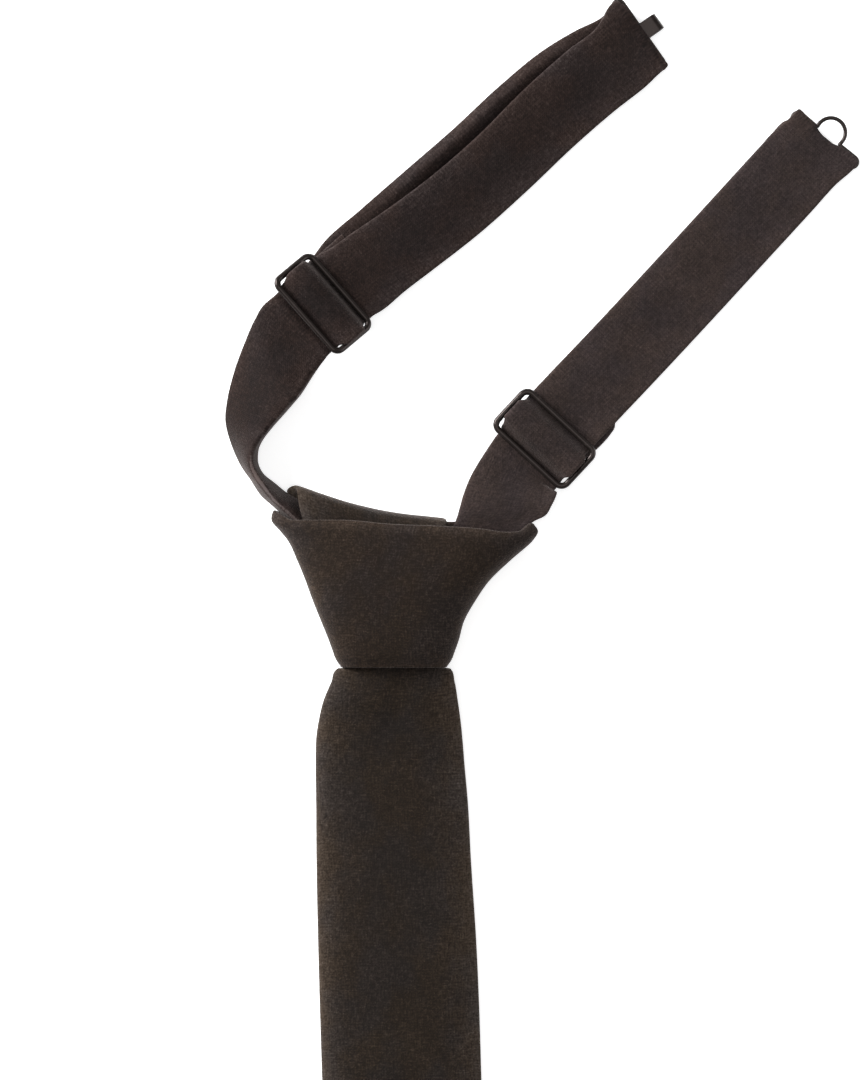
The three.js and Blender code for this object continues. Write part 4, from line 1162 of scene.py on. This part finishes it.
def cloth_material(name, warm, cool, pitch, wear_and_edge_light, grain):
    """Matte black cloth in a fine plain weave, with uneven yarn and a soft nap.

    The two colours are those of its warmer and its cooler patches, and pitch is the weave's. The
    next value says how much lighter the colour is painted along the folded edges and on a fold's
    crest, as painted highlight, and grain is how uneven the yarn's tone is. The noise has its scales
    over a millimetre of flat cloth.
    """
    tree, shader, material = new_material(name)
    flat = add_node(tree, "Attribute", {}, "Vector", attribute_name="cloth")

    def noise(across, along, detail, roughness=0.5):
        place = add_node(tree, "VectorMath", {0: flat, 1: (across, along, 0)}, operation="MULTIPLY")
        return add_noise(tree, place, 1.0, detail, roughness)

    def math_of(operation, *values):
        return add_node(tree, "Math", dict(enumerate(values)), operation=operation)

    def times(value, factor):
        return math_of("MULTIPLY", value, factor)

    def plus(first, second):
        return math_of("ADD", first, second)

    split = tree.nodes.new("ShaderNodeSeparateXYZ")
    tree.links.new(flat, split.inputs[0])
    x, y, from_edge = split.outputs
    wander = times(noise(0.3, 0.3, 2), 3.0)
    turns = math.pi / pitch
    warp = math_of("SINE", plus(times(x, turns), wander))
    weft = math_of("SINE", plus(times(y, turns), wander))
    crossing = times(warp, weft)
    slubs = plus(noise(0.5, 2.4, 2, 0.7), noise(2.4, 0.5, 2, 0.7))
    fuzz = noise(1.9, 1.9, 3, 0.75)
    yarn = plus(times(slubs, 0.5), times(fuzz, 0.6))
    patches = noise(0.11, 0.09, 2, 0.6)
    # Painted highlights: the colour is lighter near folded edges and lighter still on a fold's crest
    painted_edge_light = math_of("EXPONENT", times(from_edge, -1 / EDGE_LIGHT_REACH))
    crest = math_of("MAXIMUM", times(from_edge, -1 / CREST_LIGHT_WIDTH), 0.0)
    tone = plus(
        plus(times(crossing, WEAVE_TONE),
             plus(times(yarn, grain), MIDDLE_TONE - YARN_MEAN * grain)),
        plus(times(patches, PATCH_TONE), plus(times(painted_edge_light, wear_and_edge_light), times(crest, CREST_HIGHLIGHT_TONE))),
    )

    def shades(colour):
        return add_ramp(tree, times(tone, 0.5), [
            (place, tuple(c * share + grey for c in colour)) for place, share, grey in TONE_STOPS
        ])

    hue = add_ramp(tree, noise(0.07, 0.05, 3, 0.6), [(0.42, (0, 0, 0)), (0.58, (1, 1, 1))])
    height = plus(times(crossing, WEAVE_HEIGHT), times(yarn, YARN_HEIGHT))
    set_inputs(tree, shader, {
        "Base Color": add_node(
            tree, "Mix", {"Factor": hue, "A": shades(warm), "B": shades(cool)}, "Result",
            data_type="RGBA",
        ),
        "Normal": add_bump(tree, height, 0.7, CLOTH_BUMP),
        "Roughness": plus(times(fuzz, 0.15), 0.8),
        "Specular IOR Level": 0.12,
        "Sheen Weight": 0.15,
        "Sheen Roughness": 0.35,
        "Sheen Tint": (1.0, 0.88, 0.84, 1),
    })
    return material


def thread_material(name):
    """Black sewing thread, twisted."""
    tree, shader, material = new_material(name)
    place = add_node(tree, "TexCoord", {}, "Object")
    twist = add_node(
        tree, "TexWave", {"Scale": 900, "Distortion": 0.6, "Vector": place}, "Fac",
        bands_direction="DIAGONAL",
    )
    set_inputs(tree, shader, {
        "Base Color": add_ramp(tree, twist, [
            (0.2, (0.006, 0.005, 0.0048)), (0.8, (0.022, 0.017, 0.015)),
        ]),
        "Normal": add_bump(tree, twist, 0.5, 0.05),
        "Roughness": 0.6,
        "Specular IOR Level": 0.3,
    })
    return material


def paint_material(name):
    """Black lacquer on wire, smooth with a few dull and worn places."""
    tree, shader, material = new_material(name)
    place = add_node(tree, "TexCoord", {}, "Object")
    uneven = add_noise(tree, place, 900, 3, 0.6)
    wear_and_edge_light = add_noise(tree, place, 350, 4, 0.7)
    set_inputs(tree, shader, {
        "Base Color": add_ramp(tree, wear_and_edge_light, [
            (0.35, (0.0085, 0.0068, 0.006)), (0.6, (0.012, 0.0096, 0.0086)),
            (0.75, (0.03, 0.0235, 0.0215)),
        ]),
        "Roughness": add_node(tree, "Math", {0: wear_and_edge_light, 1: 0.2, 2: 0.14}, operation="MULTIPLY_ADD"),
        "Normal": add_bump(tree, uneven, 0.12, 0.05),
        "Specular IOR Level": 0.3,
        "Specular Tint": (1.0, 0.84, 0.8, 1),
    })
    return material


def floor_material(name):
    """White, glowing a little so that it stays white beside the shadows."""
    tree, shader, material = new_material(name)
    grain = add_noise(tree, add_node(tree, "TexCoord", {}, "Object"), 60, 3)
    set_inputs(tree, shader, {
        "Base Color": add_ramp(tree, grain, [(0.3, (0.9, 0.9, 0.9)), (0.7, (0.93, 0.93, 0.93))]),
        "Roughness": 0.9,
        "Specular IOR Level": 0.1,
        "Emission Color": (1, 1, 1, 1),
        "Emission Strength": 0.55,
    })
    return material


# One fabric in four copies. The knot's copy and the right strap's copy are painted lighter than the
# blade's, as painted light. The left strap's copy is painted darker, as painted shade. Each copy has
# its own strength of painted edge highlight.
blade_cloth = cloth_material(
    "blade_cloth", (0.0214, 0.0144, 0.0096), (0.0189, 0.0141, 0.0117), 0.42, 0.58, 2.2,
)
knot_cloth_painted_lit = cloth_material(
    "knot_cloth_painted_lit", (0.0262, 0.0172, 0.0118), (0.0232, 0.0167, 0.0140), 0.42, 0.2, 2.2,
)
left_cloth_painted_shade = cloth_material(
    "left_cloth_painted_shade", (0.0158, 0.0093, 0.0077), (0.0138, 0.0090, 0.0083), 0.38, 0.5, 2.0,
)
right_cloth_painted_lit = cloth_material(
    "right_cloth_painted_lit", (0.0328, 0.0226, 0.0199), (0.0300, 0.0216, 0.0210), 0.38, 0.25, 1.4,
)
black_paint = paint_material("black_paint")


def finished(piece, node, material):
    piece.data.materials.clear()
    piece.data.materials.append(material)
    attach(piece, "root")
    if node:
        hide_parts(node)
    return piece


# The pieces

blade = finished(
    add_mesh("blade_padded_cloth", *ribbon_mesh(blade_rows(), BLADE_PROFILE), CLOTH_SHARP),
    "blade", blade_cloth,
)
finished(add_mesh("blade_stitches", *stitch_mesh()), None, thread_material("thread"))
knot = finished(add_mesh("knot_padded_cloth", *wrap_mesh()), "knot_wrap", knot_cloth_painted_lit)


def strap_piece(name, node, rows, material, lip):
    """A strap, none of it lower than the surface. Its length is that of its middle line."""
    points, faces, cloth = ribbon_mesh(smooth_rows(rows, BACK_Z), STRAP_PROFILE)
    points[:, 2] = np.maximum(points[:, 2], 0)
    push_lip(points, *lip)
    piece = finished(add_mesh(name, points, faces, cloth, CLOTH_SHARP), node, material)


slider_right = finished(
    slider_piece("slider_right_wire", SLIDER_RIGHT), "slider_right", black_paint,
)
slider_left = finished(
    slider_piece("slider_left_wire", SLIDER_LEFT), "slider_left", black_paint,
)
eye = finished(eye_piece("eye_wire"), "eye", black_paint)
hook = finished(hook_piece("hook_plate"), "hook", black_paint)
strap_piece(
    "strap_right_cloth", "strap_right", RIGHT_ROWS, right_cloth_painted_lit,
    (EYE, EYE_LIP),
)
strap_piece(
    "strap_left_cloth", "strap_left", LEFT_ROWS, left_cloth_painted_shade,
    (HOOK, HOOK_LIP),
)

# Floor, lights and camera

# The middle of the picture in the layout, the camera, the floor and the lights
VIEW_CENTRE = (9.25, 31.25)
CAMERA_HEIGHT = 1.2
CAMERA_SENSOR = 36
CAMERA_LENS = 160
FLOOR_REACH = 3.0
FLOOR_DROP = 0.00002
SKY_STRENGTH = 0.3
LIGHT_SIZE = 1.0
# Each light's place from the point below the camera, and its watts
LIGHTS = (
    ("left_light", (-1.25, 0.75, 0.62), 62),
    ("right_light", (1.3, 0.1, 0.6), 8),
    ("top_light", (0, 0, 1.9), 6),
)

centre = Vector(((VIEW_CENTRE[0] + SHIFT[0]) * MM, (VIEW_CENTRE[1] + SHIFT[1]) * MM, 0.0))

floor_mesh = bpy.data.meshes.new("floor")
floor_mesh.from_pydata(
    [(x * FLOOR_REACH, y * FLOOR_REACH, -FLOOR_DROP)
     for x, y in ((-1, -1), (1, -1), (1, 1), (-1, 1))], [], [(0, 1, 2, 3)],
)
floor_mesh.materials.append(floor_material("floor_white"))
floor = new_object("floor", floor_mesh)

world = bpy.data.worlds.new("studio")
bpy.context.scene.world = world
world.use_nodes = True
set_inputs(world.node_tree, world.node_tree.nodes["Background"], {
    "Color": (1.0, 1.0, 1.0, 1), "Strength": SKY_STRENGTH,
})

for name, place, energy in LIGHTS:
    light = bpy.data.lights.new(name, "AREA")
    light.shape = "SQUARE"
    light.size = LIGHT_SIZE
    light.energy = energy
    lamp = new_object(name, light)
    lamp.location = centre + Vector(place)
    lamp.rotation_mode = "QUATERNION"
    lamp.rotation_quaternion = (centre - lamp.location).to_track_quat("-Z", "Y")

camera_data = bpy.data.cameras.new("camera")
camera_data.sensor_fit = "VERTICAL"
camera_data.sensor_height = CAMERA_SENSOR
camera_data.lens = CAMERA_LENS
camera = new_object("camera", camera_data)
camera.location = (centre.x, centre.y, CAMERA_HEIGHT)
bpy.context.scene.camera = camera
bpy.context.scene.view_settings.view_transform = "Standard"

bpy.context.view_layer.update()
